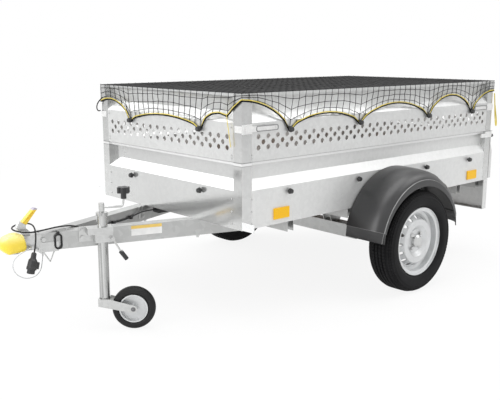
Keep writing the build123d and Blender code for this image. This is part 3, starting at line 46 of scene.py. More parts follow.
# camera, at the photo's angle
view = {
    "place": (-2.7538, -3.0030, 1.2631),
    "target": (0.0152, 0.0746, 0.4277),
    "lens": 53.35,
    "sensor": 36,
    "reach": (0.05, 100),
}


def addObject(name, data):
    piece = bpy.data.objects.new(name, data)
    bpy.context.scene.collection.objects.link(piece)
    return piece


def aimAt(piece, place, target):
    piece.location = place
    piece.rotation_mode = "QUATERNION"
    piece.rotation_quaternion = (Vector(target) - Vector(place)).to_track_quat("-Z", "Y")


def addCamera(values):
    lensData = bpy.data.cameras.new("camera")
    lensData.lens = values["lens"]
    lensData.sensor_width = values["sensor"]
    lensData.clip_start, lensData.clip_end = values["reach"]
    camera = addObject("camera", lensData)
    aimAt(camera, values["place"], values["target"])
    bpy.context.scene.camera = camera


addCamera(view)
print("stage: camera")

dressed = []  # every new piece with the name of its finish


def chooseOnly(piece):
    bpy.ops.object.select_all(action="DESELECT")
    piece.select_set(True)
    bpy.context.view_layer.objects.active = piece


def reshape(piece, kind, **settings):
    # a modifier, set and applied to the active piece
    change = piece.modifiers.new(kind.lower(), kind)
    for name, value in settings.items():
        setattr(change, name, value)
    bpy.ops.object.modifier_apply(modifier=change.name)


# cords, on the route of their CAD tubes
cords = {
    "lightingCable": {
        "route": (
            (-0.596, 0.1480, 0.4480),
            (-0.655, 0.1500, 0.4490),
            (-0.695, 0.1563, 0.4380),
            (-0.742, 0.1405, 0.4300),
            (-0.810, 0.1178, 0.4270),
            (-0.870, 0.0977, 0.4300),
            (-0.935, 0.0760, 0.4270),
            (-1.000, 0.0544, 0.4300),
            (-1.060, 0.0343, 0.4380),
            (-1.102, 0.0150, 0.4570),
            (-1.150, 0.0000, 0.4780),
            (-1.219, -0.0040, 0.4840),
            (-1.284, -0.0140, 0.4830),
            (-1.330, -0.0320, 0.4850),
            (-1.372, -0.0420, 0.4880),
            (-1.408, -0.0380, 0.4940),
            (-1.431, -0.0140, 0.5000),
            (-1.432, 0.0180, 0.5050),
            (-1.410, 0.0420, 0.5090),
            (-1.376, 0.0440, 0.5130),
            (-1.350, 0.0240, 0.5150),
            (-1.344, -0.0100, 0.5120),
            (-1.350, -0.0440, 0.4980),
            (-1.361, -0.0680, 0.4660),
            (-1.370, -0.0780, 0.4340),
            (-1.377, -0.0780, 0.4060),
        ),
        "diameter": 0.007,
        "length": 1.187,
        "ends": "plug",
        "lay": "loose",
        "carries": ("cable_plug",),
        "stands": "lighting_cable",
        "finish": "black_cable",
    },
    "safetyWire": {
        "route": (
            (-1.3914, -0.050, 0.4161),
            (-1.442, -0.050, 0.401),
            (-1.469, -0.050, 0.364),
            (-1.455, -0.050, 0.317),
            (-1.412, -0.050, 0.288),
            (-1.366, -0.050, 0.288),
            (-1.337, -0.050, 0.312),
            (-1.3292, -0.050, 0.3482),
            (-1.3251, -0.050, 0.3759),
        ),
        "diameter": 0.004,
        "length": 0.338,
        "ends": "fitting",
        "lay": "hanging",
        "carries": ("safety_hook",),
        "stands": "safety_cable",
        "finish": "steel_wire",
    },
}


strand = {"rounding": 4, "steps": 8}  # how finely a curve is drawn round and along


def addCurve(name, route, radius, closed=False):
    line = bpy.data.curves.new(name, "CURVE")
    line.dimensions = "3D"
    line.bevel_depth = 1  # a point's radius is the tube's, which keeps the curve's box true
    line.bevel_resolution = strand["rounding"]
    line.resolution_u = strand["steps"]
    line.use_fill_caps = True
    spline = line.splines.new("NURBS")
    spline.points.add(len(route) - 1)
    for point, place in zip(spline.points, route):
        point.co = (*place, 1)
        point.radius = radius
    spline.order_u = 3
    if closed:
        spline.use_cyclic_u = True
    else:
        spline.use_endpoint_u = True
    return addObject(name, line)


for name, values in cords.items():
    piece = addCurve(name, values["route"], values["diameter"] / 2)
    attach(piece, "root")
    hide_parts(values["stands"])
    dressed.append((piece, values["finish"]))
print("stage: cords")

# cover net: a square mesh over the rim, its skirts drawn down to the knobs
net = {
    "ends": (-0.6243, 1.4403),
    "half": 0.5823,
    "top": 1.0813,
    "knobLow": 0.9133,
    "hookLow": 0.8975,
    "cellsLong": 46,
    "cellsWide": 26,
    "rows": (0, 0.22, 0.5, 0.78, 1),
    "lean": 1.15,  # how late a skirt's strands turn towards their places on the hem
    "cord": 0.0040,
    "knot": 0.0040,
    "sag": 0.007,
    "sagShare": (0.6, 1.0),
    "shift": 0.003,  # how far a crossing of the top strays
    "wave": 0.0025,  # how far a crossing of a skirt strays
    "still": 0.004,  # above the knobs by less than this, a crossing stays
    "edge": 0.001,  # a crossing this near to a wall's line belongs to it
    "seed": 11,
    # arcs of each hem: start, crest and end, as (place along the wall, height)
    "sideArcs": (
        ((-0.6243, None), (-0.470, 1.014), (-0.330, 0.9133)),
        ((-0.330, 0.9133), (-0.0805, 0.9683), (0.169, 0.9133)),
        ((0.169, 0.9133), (0.4645, 0.9903), (0.760, 0.9133)),
        ((0.760, 0.9133), (0.979, 1.0113), (1.198, 0.9133)),
        ((1.198, 0.9133), (1.300, 0.990), (1.4403, None)),
    ),
    "endArcs": (
        ((-0.5823, None), (-0.444, 0.980), (-0.290, 0.9133)),
        ((-0.290, 0.9133), (0.0, 0.9523), (0.290, 0.9133)),
        ((0.290, 0.9133), (0.430, 1.000), (0.5823, None)),
    ),
    # the front hem has a notch by the near corner, where a tail is tied
    "frontArcs": (
        ((-0.5823, None), (-0.5331, 1.0150), (-0.4887, 0.9760)),
        ((-0.4887, 0.9760), (-0.4125, 0.9870), (-0.290, 0.9133)),
        ((-0.290, 0.9133), (0.0, 0.9523), (0.290, 0.9133)),
        ((0.290, 0.9133), (0.430, 1.000), (0.5823, None)),
    ),
    "sideCells": (7, 11, 13, 10, 5),
    "endCells": (6, 14, 6),
    "frontCells": (2, 4, 14, 6),
    # corner heights by wall: at the low end and at the high end of its run
    "corners": {
        "left": (1.048, 1.020),
        "right": (0.990, 1.020),
        "front": (1.048, 0.990),
        "rear": (1.020, 1.020),
    },
}


def arcHeight(arc, at):
    # height on the circle through three points
    (ax, az), (bx, bz), (cx, cz) = arc
    a, b, c = ax**2 + az**2, bx**2 + bz**2, cx**2 + cz**2
    d = 2 * (ax * (bz - cz) + bx * (cz - az) + cx * (az - bz))
    ux = (a * (bz - cz) + b * (cz - az) + c * (az - bz)) / d
    uz = (a * (cx - bx) + b * (ax - cx) + c * (bx - ax)) / d
    rise = math.sqrt(max(0, (ax - ux) ** 2 + (az - uz) ** 2 - (at - ux) ** 2))
    return uz + math.copysign(rise, bz - uz)


def hemLine(arcs, corners, cells, steps=60):
    # places on the hem, evenly spread along each arc
    places = []
    for index, arc in enumerate(arcs):
        arc = [list(point) for point in arc]
        if index == 0:
            arc[0][1] = corners[0]
        if index == len(arcs) - 1:
            arc[2][1] = corners[1]
        start, end = arc[0][0], arc[2][0]
        spread = [start + (end - start) * k / steps for k in range(steps + 1)]
        fine = [(at, arcHeight(arc, at)) for at in spread]
        gone = [0]
        for first, second in zip(fine, fine[1:]):
            gone.append(gone[-1] + math.dist(first, second))
        for cell in range(cells[index]):
            want = gone[-1] * cell / cells[index]
            k = max(i for i in range(steps) if gone[i] <= want + 1e-9)
            share = (want - gone[k]) / (gone[k + 1] - gone[k])
            places.append(tuple(a + (b - a) * share for a, b in zip(fine[k], fine[k + 1])))
    places.append((arcs[-1][2][0], corners[1]))
    return places


def wallPoint(wall, along, height, out=0.0):
    # a point over a wall, from its place along that wall
    if wall in ("left", "right"):
        sign = -1 if wall == "left" else 1
        return (along, sign * (net["half"] + out), height)
    sign = -1 if wall == "front" else 1
    return (net["ends"][0 if wall == "front" else 1] + sign * out, along, height)


def addNet(values):
    dice = random.Random(values["seed"])
    vertices, index, faces = [], {}, []

    def knot(place):
        key = tuple(round(v, 4) for v in place)
        if key not in index:
            index[key] = len(vertices)
            vertices.append(list(place))
        return index[key]

    (x0, x1), half = values["ends"], values["half"]
    long, wide = values["cellsLong"], values["cellsWide"]
    xs = [x0 + (x1 - x0) * i / long for i in range(long + 1)]
    ys = [-half + 2 * half * j / wide for j in range(wide + 1)]
    grid = [[knot((x, y, values["top"])) for y in ys] for x in xs]
    for i in range(long):
        for j in range(wide):
            faces.append((grid[i][j], grid[i + 1][j], grid[i + 1][j + 1], grid[i][j + 1]))
    top = len(vertices)
    hems = {}
    for wall, corners in values["corners"].items():
        sidelong = wall in ("left", "right")
        kind = "side" if sidelong else "front" if wall == "front" else "end"
        hems[wall] = hemLine(values[kind + "Arcs"], corners, values[kind + "Cells"])
        columns = []
        for along, (hemAlong, hemHeight) in zip(xs if sidelong else ys, hems[wall]):
            column = []
            for share in values["rows"]:
                there = along + (hemAlong - along) * share ** values["lean"]
                height = values["top"] + (hemHeight - values["top"]) * share
                column.append(knot(wallPoint(wall, there, height)))
            columns.append(column)
        for first, second in zip(columns, columns[1:]):
            for k in range(len(values["rows"]) - 1):
                faces.append((first[k], second[k], second[k + 1], first[k + 1]))
    # the top sags and its crossings stray, and the skirts' crossings stray a little
    edge, shift, wave = values["edge"], values["shift"], values["wave"]
    for number, place in enumerate(vertices):
        x, y, z = place
        between = x0 + edge < x < x1 - edge
        if number < top and between and abs(y) < half - edge:
            hang = (1 - (y / half) ** 4) * (1 - ((2 * x - x0 - x1) / (x1 - x0)) ** 6)
            place[0] += dice.uniform(-shift, shift)
            place[1] += dice.uniform(-shift, shift)
            place[2] -= values["sag"] * hang * dice.uniform(*values["sagShare"])
        elif number >= top and z > values["knobLow"] + values["still"]:
            out = dice.uniform(0, wave)
            aside = dice.uniform(-wave, wave)
            if abs(y) > half - edge:
                place[1] += math.copysign(out, y)
                place[0] += aside if between else 0
            else:
                place[0] += math.copysign(out, x)
                place[1] += aside
            place[2] += dice.uniform(-wave, wave)
    mesh = bpy.data.meshes.new("coverNet")
    mesh.from_pydata(vertices, [], faces)
    piece = addObject("coverNet", mesh)
    chooseOnly(piece)
    bpy.ops.object.mode_set(mode="EDIT")
    bpy.ops.mesh.select_all(action="SELECT")
    bpy.ops.mesh.normals_make_consistent(inside=False)
    bpy.ops.object.mode_set(mode="OBJECT")
    reshape(piece, "WIREFRAME", thickness=values["cord"], use_even_offset=False, use_boundary=True)
    # a knot at each crossing: four corners round it, one above and one below
    corners, sides = [], []
    size = values["knot"]
    for x, y, z in vertices:
        first = len(corners)
        corners += [(x + size, y, z), (x, y + size, z), (x - size, y, z), (x, y - size, z)]
        corners += [(x, y, z + size), (x, y, z - size)]
        for k in range(4):
            here, after = first + k, first + (k + 1) % 4
            sides += [(here, after, first + 4), (after, here, first + 5)]
    mesh = bpy.data.meshes.new("netKnots")
    mesh.from_pydata(corners, [], sides)
    addObject("netKnots", mesh).select_set(True)
    bpy.ops.object.join()
    bpy.ops.object.shade_smooth()
    return piece, hems


coverNet, hems = addNet(net)
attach(coverNet, "root")
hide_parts("net_top", "net_skirts")
dressed.append((coverNet, "net_cord"))

# hem cord and elastic, drawn under the stem of each knob
hem = {
    "sideKnobs": (-0.330, 0.169, 0.760, 1.198),
    "endKnobs": (-0.290, 0.290),
    "near": 0.012,  # nearer than this to a knob, both cords pass under it
    "wide": 0.013,  # half the width of the dip at its top
    "narrow": 0.006,  # and at its foot
    "under": 0.0015,  # its foot above the place where the net is hooked
    "dip": 0.003,
    "liftShare": 0.4,
    "knobOut": 0.004,
    "cords": (
        # name, radius, lift above the hem, way out from the wall, wave, finish
        ("hemCord", 0.0034, 0.0, 0.0035, 0.0, "black_net"),
        ("hemElastic", 0.0022, 0.0062, 0.0050, 0.0014, "hem_yellow"),
    ),
}


def hemRoute(values, lift, out, wave):
    # once round all four walls, under each knob's stem
    route = []
    wide, narrow, beside = values["wide"], values["narrow"], values["knobOut"]
    under = net["hookLow"] + values["under"]
    for wall, way in (("left", 1), ("rear", 1), ("right", -1), ("front", -1)):
        line = hems[wall]
        knobs = values["sideKnobs" if wall in ("left", "right") else "endKnobs"]

        def toKnob(along):
            return min(abs(along - knob) for knob in knobs)

        places = []
        for number, (along, height) in enumerate(line[:-1]):
            if toKnob(along) < values["near"]:
                over = height - values["dip"] + lift * values["liftShare"]
                places += [(along - wide, over, beside), (along - narrow, under, beside)]
                places += [(along + narrow, under, beside), (along + wide, over, beside)]
            else:
                places.append((along, height + lift, out + wave * (1 if number % 2 else -1)))
                nextAlong, nextHeight = line[number + 1]
                if toKnob(nextAlong) > values["near"]:
                    middle = ((along + nextAlong) / 2, (height + nextHeight) / 2 + lift)
                    places.append((*middle, out))
        places.append((line[-1][0], line[-1][1] + lift, out))
        for along, height, reach in places if way > 0 else reversed(places):
            route.append(wallPoint(wall, along, height, reach))
    return route


for name, radius, lift, out, wave, finish in hem["cords"]:
    piece = addCurve(name, hemRoute(hem, lift, out, wave), radius, True)
    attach(piece, "root")
    dressed.append((piece, finish))

# loose ends, tied at three corners: radius, finish, route
tails = {
    "tailNotch": (
        0.0017,
        "hem_yellow",
        (
            (-0.6290, -0.4870, 0.9850), (-0.6330, -0.4930, 0.9650), (-0.6345, -0.5030, 0.9270),
            (-0.6345, -0.5110, 0.8850), (-0.6335, -0.5180, 0.8420),
        ),
    ),
    "tailRear": (
        0.0032,
        "hem_yellow",
        (
            (1.4480, -0.5860, 1.0050), (1.4530, -0.5890, 0.9600), (1.4560, -0.5905, 0.9050),
            (1.4620, -0.5930, 0.8450), (1.4720, -0.5950, 0.8000), (1.4830, -0.5930, 0.8100),
            (1.4820, -0.5900, 0.8500), (1.4720, -0.5880, 0.8900), (1.4640, -0.5860, 0.9300),
        ),
    ),
    "tailFar": (
        0.0030,
        "black_net",
        (
            (-0.6300, 0.5600, 1.0120), (-0.6360, 0.5850, 0.9950), (-0.6400, 0.6050, 0.9700),
            (-0.6370, 0.6120, 0.9480), (-0.6330, 0.6020, 0.9350), (-0.6310, 0.5860, 0.9400),
        ),
    ),
}
for name, (radius, finish, route) in tails.items():
    piece = addCurve(name, route, radius)
    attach(piece, "root")
    dressed.append((piece, finish))
print("stage: net")

weld = 0.00002  # points of a piece nearer than this become one


def startPoint(name, place):
    # a single vertex in edit mode, from which an outline is drawn
    bpy.ops.object.select_all(action="DESELECT")
    bpy.ops.mesh.primitive_plane_add(size=0.01, location=place)
    piece = bpy.context.object
    piece.name = name
    bpy.ops.object.mode_set(mode="EDIT")
    bpy.ops.mesh.select_all(action="SELECT")
    bpy.ops.mesh.merge(type="CENTER")
    return piece


def drawOutline(places):
    for first, second in zip(places, places[1:]):
        step = tuple(b - a for a, b in zip(first, second))
        bpy.ops.mesh.extrude_vertices_move(TRANSFORM_OT_translate={"value": step})


def bothSides(half):
    # an outline of (along, radius) and its mirror image
    return [*half, *((-along, radius) for along, radius in reversed(half))]


def selectFaces(piece, wanted):
    # picks the faces that wanted says yes to
    bpy.ops.mesh.select_all(action="DESELECT")
    bpy.ops.object.mode_set(mode="OBJECT")
    for face in piece.data.polygons:
        face.select = wanted(face)
    bpy.ops.object.mode_set(mode="EDIT")


def closeUp(piece, angle=0.6):
    # merged, turned outwards, smoothed, with its place in its mesh
    bpy.ops.mesh.select_all(action="SELECT")
    bpy.ops.mesh.remove_doubles(threshold=weld)
    bpy.ops.mesh.normals_make_consistent(inside=False)
    bpy.ops.object.mode_set(mode="OBJECT")
    bpy.ops.object.transform_apply(location=True, rotation=True, scale=True)
    bpy.ops.object.shade_smooth_by_angle(angle=angle)


def addShape(piece, name, make, **values):
    # one more primitive in a piece, and alone selected; the first one starts the piece
    if piece:
        bpy.ops.mesh.select_all(action="DESELECT")
        make(**values)
        return piece
    bpy.ops.object.select_all(action="DESELECT")
    make(**values)
    piece = bpy.context.object
    piece.name = name
    bpy.ops.object.transform_apply(location=False, rotation=False, scale=True)
    bpy.ops.object.mode_set(mode="EDIT")
    bpy.ops.mesh.select_all(action="SELECT")
    return piece


def soften(piece, width):
    # a small bevel on each sharp edge
    bpy.ops.object.mode_set(mode="OBJECT")
    reshape(piece, "BEVEL", width=width, segments=2, limit_method="ANGLE")
    bpy.ops.object.mode_set(mode="EDIT")


def copyNode(name, node):
    # a CAD node's mesh in a new piece, and alone selected
    piece = addObject(name, nodes[node].data.copy())
    chooseOnly(piece)
    piece.data.materials.clear()
    return piece


# extension panels: three staggered rows of round holes
perforation = {
    "radius": 0.0118,
    "pitch": 0.060,
    "reach": 0.024,
    "sides": 20,
    "rows": ((0.836, 1), (0.861, 0), (0.886, 1)),  # height, holes more than the middle row
    "smooth": 0.6,
    # name: node, middle, direction of the rows, holes in the middle row, turn of a hole
    "panels": {
        "panelFront": ("extension_front", (-0.620, 0.0), (0, 1), 16, (0, math.pi / 2, 0)),
        "panelRear": ("extension_rear", (1.436, 0.0), (0, 1), 16, (0, math.pi / 2, 0)),
        "panelLeft": ("extension_left", (0.408, -0.580), (1, 0), 31, (math.pi / 2, 0, 0)),
        "panelRight": ("extension_right", (0.408, 0.580), (1, 0), 31, (math.pi / 2, 0, 0)),
    },
}


def addPanel(name, values, sizes):
    node, (midX, midY), (alongX, alongY), holes, turn = values
    cutter = None
    for height, more in sizes["rows"]:
        count = holes + more
        first = -(count - 1) / 2 * sizes["pitch"]
        cutter = addShape(
            cutter,
            "cutter",
            bpy.ops.mesh.primitive_cylinder_add,
            vertices=sizes["sides"],
            radius=sizes["radius"],
            depth=sizes["reach"],
            location=(midX + alongX * first, midY + alongY * first, height),
            rotation=turn,
        )
        for _ in range(count - 1):
            step = (alongX * sizes["pitch"], alongY * sizes["pitch"], 0)
            bpy.ops.mesh.duplicate_move(TRANSFORM_OT_translate={"value": step})
    bpy.ops.object.mode_set(mode="OBJECT")
    panel = copyNode(name, node)
    bpy.ops.object.mode_set(mode="EDIT")
    bpy.ops.mesh.select_all(action="SELECT")
    bpy.ops.mesh.remove_doubles(threshold=weld)
    bpy.ops.object.mode_set(mode="OBJECT")
    reshape(panel, "BOOLEAN", operation="DIFFERENCE", solver="EXACT", object=cutter)
    bpy.ops.object.shade_smooth_by_angle(angle=sizes["smooth"])
    bpy.data.objects.remove(cutter)
    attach(panel, "root")
    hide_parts(node)
    dressed.append((panel, "galvanised_sheet"))


for name, values in perforation["panels"].items():
    addPanel(name, values, perforation)
print("stage: extension panels")

# tyres: outline as (along the axle from the middle, radius), turned about the axle
tyre = {
    "centre": (0.450, 0.720, 0.2735),
    "outline": (
        # bead and side wall
        (-0.0495, 0.1655), (-0.0495, 0.1825), (-0.0560, 0.1840), (-0.0640, 0.1885),
        (-0.0700, 0.1950), (-0.0722, 0.1965), (-0.0748, 0.2010), (-0.0768, 0.2120),
        (-0.0773, 0.2240), (-0.0765, 0.2345), (-0.0772, 0.2355), (-0.0772, 0.2375),
        # shoulder
        (-0.0748, 0.2385), (-0.0718, 0.2480), (-0.0670, 0.2560), (-0.0600, 0.2618),
        (-0.0500, 0.2668),
        # grooves of the tread
        (-0.0455, 0.2655), (-0.0420, 0.2655), (-0.0410, 0.2680), (-0.0250, 0.2685),
        (-0.0240, 0.2655), (-0.0190, 0.2655), (-0.0180, 0.2685), (-0.0030, 0.2685),
        (-0.0022, 0.2655),
    ),
    "steps": 96,
    "tread": 0.2500,  # faces further out than this take the ribs
    # tread ribs: from, to, block height, gap at a block's edge
    "ribs": (
        (0.0030, 0.0180, 0.0050, 0.0014),
        (0.0250, 0.0410, 0.0050, 0.0014),
        (0.0500, 0.0700, 0.0034, 0.0022),
    ),
    "smooth": 0.5,  # edges sharper than this stay sharp, in radians, here and below
}


def addTyre(name, side, values):
    x, y, z = values["centre"]
    y *= side
    places = [(x, y + along, z + radius) for along, radius in bothSides(values["outline"])]
    piece = startPoint(name, places[0])
    drawOutline(places + places[:1])
    bpy.ops.mesh.select_all(action="SELECT")
    bpy.ops.mesh.remove_doubles(threshold=weld)
    bpy.ops.mesh.spin(
        steps=values["steps"], angle=2 * math.pi, center=(x, y, z), axis=(0, 1, 0)
    )
    bpy.ops.mesh.select_all(action="SELECT")
    bpy.ops.mesh.remove_doubles(threshold=weld)
    bpy.ops.mesh.normals_make_consistent(inside=False)
    own = piece.location
    for low, high, rise, gap in values["ribs"]:

        def onRib(face):
            along = abs(face.center[1] + own[1] - y)
            radius = math.hypot(face.center[0] + own[0] - x, face.center[2] + own[2] - z)
            return low < along < high and radius > values["tread"]

        selectFaces(piece, onRib)
        bpy.ops.mesh.inset(thickness=gap, depth=rise, use_individual=True)
    closeUp(piece, values["smooth"])
    return piece


for name, side, body in (("tyreLeft", -1, "wheel_left"), ("tyreRight", 1, "wheel_right")):
    piece = addTyre(name, side, tyre)
    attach(piece, body)
    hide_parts("tyre_left" if side < 0 else "tyre_right")
    dressed.append((piece, "tyre_rubber"))
print("stage: tyres")

# wheel bolts: hexagon heads with a collar, four to a wheel
bolt = {
    "circle": 0.050,
    "count": 4,
    "first": math.pi / 4,
    "seat": 0.7538,
    "collar": 0.0125,
    "collarHeight": 0.003,
    "collarSides": 24,
    "across": 0.0098,
    "height": 0.0085,
    "bevel": 0.0010,
}


def addBolts(name, side, values):
    x, _, z = tyre["centre"]
    collar, height = values["collarHeight"], values["height"]
    piece = None
    for number in range(values["count"]):
        angle = values["first"] + 2 * math.pi * number / values["count"]
        across, up = values["circle"] * math.cos(angle), values["circle"] * math.sin(angle)
        for sides, radius, depth, out, turn in (
            (values["collarSides"], values["collar"], collar, collar / 2, 0),
            (6, values["across"], height, collar + height / 2, angle),
        ):
            piece = addShape(
                piece,
                name,
                bpy.ops.mesh.primitive_cylinder_add,
                vertices=sides,
                radius=radius,
                depth=depth,
                location=(x + across, side * (values["seat"] + out), z + up),
                rotation=(-side * math.pi / 2, 0, turn),
            )
    soften(piece, values["bevel"])
    closeUp(piece)
    return piece


for name, side, body in (("boltsLeft", -1, "wheel_left"), ("boltsRight", 1, "wheel_right")):
    piece = addBolts(name, side, bolt)
    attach(piece, body)
    dressed.append((piece, "zinc_fittings"))
print("stage: wheel bolts")

# mudguards: outline as (out from the middle of the trailer, radius), swept over the wheel
mudguard = {
    "centre": (0.450, 0.2735),
    "outline": (
        (0.5835, 0.3590), (0.5835, 0.3800), (0.5860, 0.3830), (0.6400, 0.3825), (0.7000, 0.3795),
        (0.7330, 0.3755), (0.7560, 0.3695), (0.7720, 0.3610), (0.7830, 0.3500), (0.7890, 0.3390),
        (0.7912, 0.3320), (0.7950, 0.3310), (0.7958, 0.3270), (0.7962, 0.2960), (0.7925, 0.2935),
    ),
    "start": math.radians(17),  # from the level of the axle up to each end
    "steps": 40,
    "lowest": 0.300,  # the side edge's corners lie within this radius
    "opening": 1.08,
    "ledge": 0.0035,
    "ledgeDrop": 0.0015,
    "flap": 0.054,
    "flare": 0.006,
    "onEnd": 0.0005,  # an edge this near to an end's plane lies on it
    "ribs": ((50, 66),),  # from and to, in degrees round the wheel
    "ribFrom": (0.59, 0.335),  # the ribs' least way out and least radius
    "ribEdge": 0.002,
    "rise": 0.0028,
    "sheet": 0.003,
    "smooth": 0.7,
    # where the painted highlight along the side edge lies
    "paintedSheen": (0.3312, 0.786),  # radius of the pale line, and the way out where it starts
}


def addMudguard(name, side, values):
    x, z = values["centre"]
    low = values["start"]
    way = (math.cos(low), math.sin(low))
    places = [
        (x + radius * way[0], side * out, z + radius * way[1]) for out, radius in values["outline"]
    ]
    piece = startPoint(name, places[0])
    drawOutline(places)
    bpy.ops.mesh.select_all(action="SELECT")
    bpy.ops.mesh.spin(
        steps=values["steps"], angle=math.pi - 2 * low, center=(x, 0, z), axis=(0, 1, 0)
    )
    bpy.ops.mesh.select_all(action="SELECT")
    bpy.ops.mesh.remove_doubles(threshold=weld)
    bpy.ops.mesh.select_all(action="DESELECT")
    bpy.ops.object.mode_set(mode="OBJECT")
    bpy.ops.object.transform_apply(location=True, rotation=True, scale=True)
    # the lower edge opens out towards both ends
    for corner in piece.data.vertices:
        corner.select = math.hypot(corner.co.x - x, corner.co.z - z) < values["lowest"]
    bpy.ops.object.mode_set(mode="EDIT")
    bpy.ops.mesh.select_mode(type="VERT")
    bpy.ops.transform.resize(value=(values["opening"], 1, 1), center_override=(x, 0, z))
    # a ledge and a hanging flap at each end
    for end in (-1, 1):
        bpy.ops.mesh.select_all(action="DESELECT")
        bpy.ops.object.mode_set(mode="OBJECT")
        for edge in piece.data.edges:
            ahead = [end * (piece.data.vertices[corner].co[0] - x) for corner in edge.vertices]
            up = [piece.data.vertices[corner].co[2] - z for corner in edge.vertices]
            edge.select = all(
                abs(a * way[1] - u * way[0]) < values["onEnd"] and a > 0 for a, u in zip(ahead, up)
            )
        bpy.ops.object.mode_set(mode="EDIT")
        bpy.ops.mesh.select_mode(type="EDGE")
        for step in (
            (-end * values["ledge"], 0, -values["ledgeDrop"]),
            (end * values["flare"], 0, -values["flap"]),
        ):
            bpy.ops.mesh.extrude_edges_move(TRANSFORM_OT_translate={"value": step})
        bpy.ops.mesh.select_mode(type="VERT")
    leastOut, leastRadius = values["ribFrom"]
    for first, last in values["ribs"]:

        def onRib(face):
            along, up = face.center[0] - x, face.center[2] - z
            if not first < math.degrees(math.atan2(up, along)) < last:
                return False
            return math.hypot(along, up) > leastRadius and abs(face.center[1]) > leastOut

        selectFaces(piece, onRib)
        bpy.ops.mesh.select_mode(type="FACE")
        bpy.ops.mesh.inset(thickness=values["ribEdge"], depth=values["rise"])
        bpy.ops.mesh.select_mode(type="VERT")
    closeUp(piece, values["smooth"])
    reshape(piece, "SOLIDIFY", thickness=values["sheet"], offset=-1)
    return piece


for name, side in (("mudguardLeft", -1), ("mudguardRight", 1)):
    piece = addMudguard(name, side, mudguard)
    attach(piece, "root")
    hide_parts("mudguards")
    dressed.append((piece, "guard"))
print("stage: mudguards")

# jockey wheel's tyre, turned about its own axle
smallTyre = {
    "centre": (-0.969624, -0.219256, 0.1),
    "axle": (0.656059, 0.75471, 0),
    "outline": (
        (-0.0190, 0.0665), (-0.0205, 0.0700), (-0.0228, 0.0722), (-0.0246, 0.0775),
        (-0.0249, 0.0835), (-0.0238, 0.0895), (-0.0220, 0.0908), (-0.0196, 0.0948),
        (-0.0150, 0.0980), (-0.0080, 0.0996), (-0.0072, 0.0978), (-0.0052, 0.0978),
        (-0.0044, 0.1000),
    ),
    "steps": 64,
    "smooth": 0.5,
}


def addTurned(name, outline, values):
    # an outline of (along the axle, radius), turned about the jockey wheel's axle
    centre, axle = Vector(values["centre"]), Vector(values["axle"])
    places = [tuple(centre + axle * along + Vector((0, 0, radius))) for along, radius in outline]
    piece = startPoint(name, places[0])
    drawOutline(places)
    bpy.ops.mesh.select_all(action="SELECT")
    bpy.ops.mesh.spin(steps=values["steps"], angle=2 * math.pi, center=centre, axis=axle)
    closeUp(piece, values["smooth"])
    return piece


loop = bothSides(smallTyre["outline"])
piece = addTurned("jockeyTyre", loop + loop[:1], smallTyre)
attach(piece, "castor")
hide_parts("jockey_tyre")
dressed.append((piece, "jockey_rubber"))

# its axle bolt: a domed nut with a washer outside each arm of the fork
axleBolt = {
    "centre": smallTyre["centre"],
    "axle": smallTyre["axle"],
    "outline": (
        (-0.0415, 0.0), (-0.0415, 0.0030), (-0.0404, 0.0052), (-0.0388, 0.0064), (-0.0362, 0.0070),
        (-0.0358, 0.0104), (-0.0346, 0.0110), (-0.0340, 0.0106), (-0.0340, 0.0040),
    ),
    "steps": 24,
    "smooth": 0.5,
}
piece = addTurned("jockeyAxleBolt", bothSides(axleBolt["outline"]), axleBolt)
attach(piece, "fork")
dressed.append((piece, "dark_zinc"))
print("stage: jockey tyre and its bolt")

# nose cover and grip: their own forms with the edges rounded away
rounded = {
    # name: node, cell, rounds of smoothing, finish
    "noseCover": ("soft_dock", 0.0022, 26, "nose_yellow"),
    "leverGripCover": ("handle_grip", 0.0012, 8, "handle"),
}


def addRounded(name, node, cell, rounds):
    piece = copyNode(name, node)
    reshape(piece, "REMESH", mode="VOXEL", voxel_size=cell)
    reshape(piece, "SMOOTH", factor=0.5, iterations=rounds)
    bpy.ops.object.shade_smooth()
    return piece


for name, (node, cell, rounds, finish) in rounded.items():
    piece = addRounded(name, node, cell, rounds)
    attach(piece, "root")
    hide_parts(node)
    dressed.append((piece, finish))
print("stage: nose cover and grip")

# rivets along the posts: a head with a soft rim, copied from place to place
rivet = {
    "radius": 0.0042,
    "height": 0.0030,
    "sides": 12,
    "bevel": 0.0014,
    "smooth": 0.8,
    "heights": (0.492, 0.548, 0.606, 0.792, 0.806, 0.930),
    # each side's columns, at these places along it and this far out
    "columns": (-0.5615, 1.3775),
    "half": 0.580,
    # the front's columns, this far out from the middle
    "frontColumn": 0.511,
    "front": -0.622,
}


def addRivets(name, values):
    # one column after another: place of its foot, turn of its rivets, way out
    columns = []
    for side in (-1, 1):
        turn, out = (-side * math.pi / 2, 0, 0), (0, side, 0)
        columns += [((x, side * values["half"]), turn, out) for x in values["columns"]]
        foot = (values["front"], side * values["frontColumn"])
        columns.append((foot, (0, -math.pi / 2, 0), (-1, 0, 0)))
    piece = None
    for foot, turn, out in columns:
        for height in values["heights"]:
            piece = addShape(
                piece,
                name,
                bpy.ops.mesh.primitive_cylinder_add,
                vertices=values["sides"],
                radius=values["radius"],
                depth=values["height"],
                location=Vector((*foot, height)) + Vector(out) * values["height"] / 2,
                rotation=turn,
            )
    soften(piece, values["bevel"])
    closeUp(piece, values["smooth"])
    return piece


piece = addRivets("postRivets", rivet)
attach(piece, "root")
dressed.append((piece, "zinc_fittings"))

# latch levers: a wire rim round each plate, dark zinc as painted shade along each plate's outline
latchRim = {
    "ends": (-0.5440, -0.4120),
    "low": 0.9125,
    "high": 0.9345,
    "out": 0.5915,
    "radius": 0.0020,
    "middle": 0.408,  # of the body, about which the rear rims mirror the front ones
}


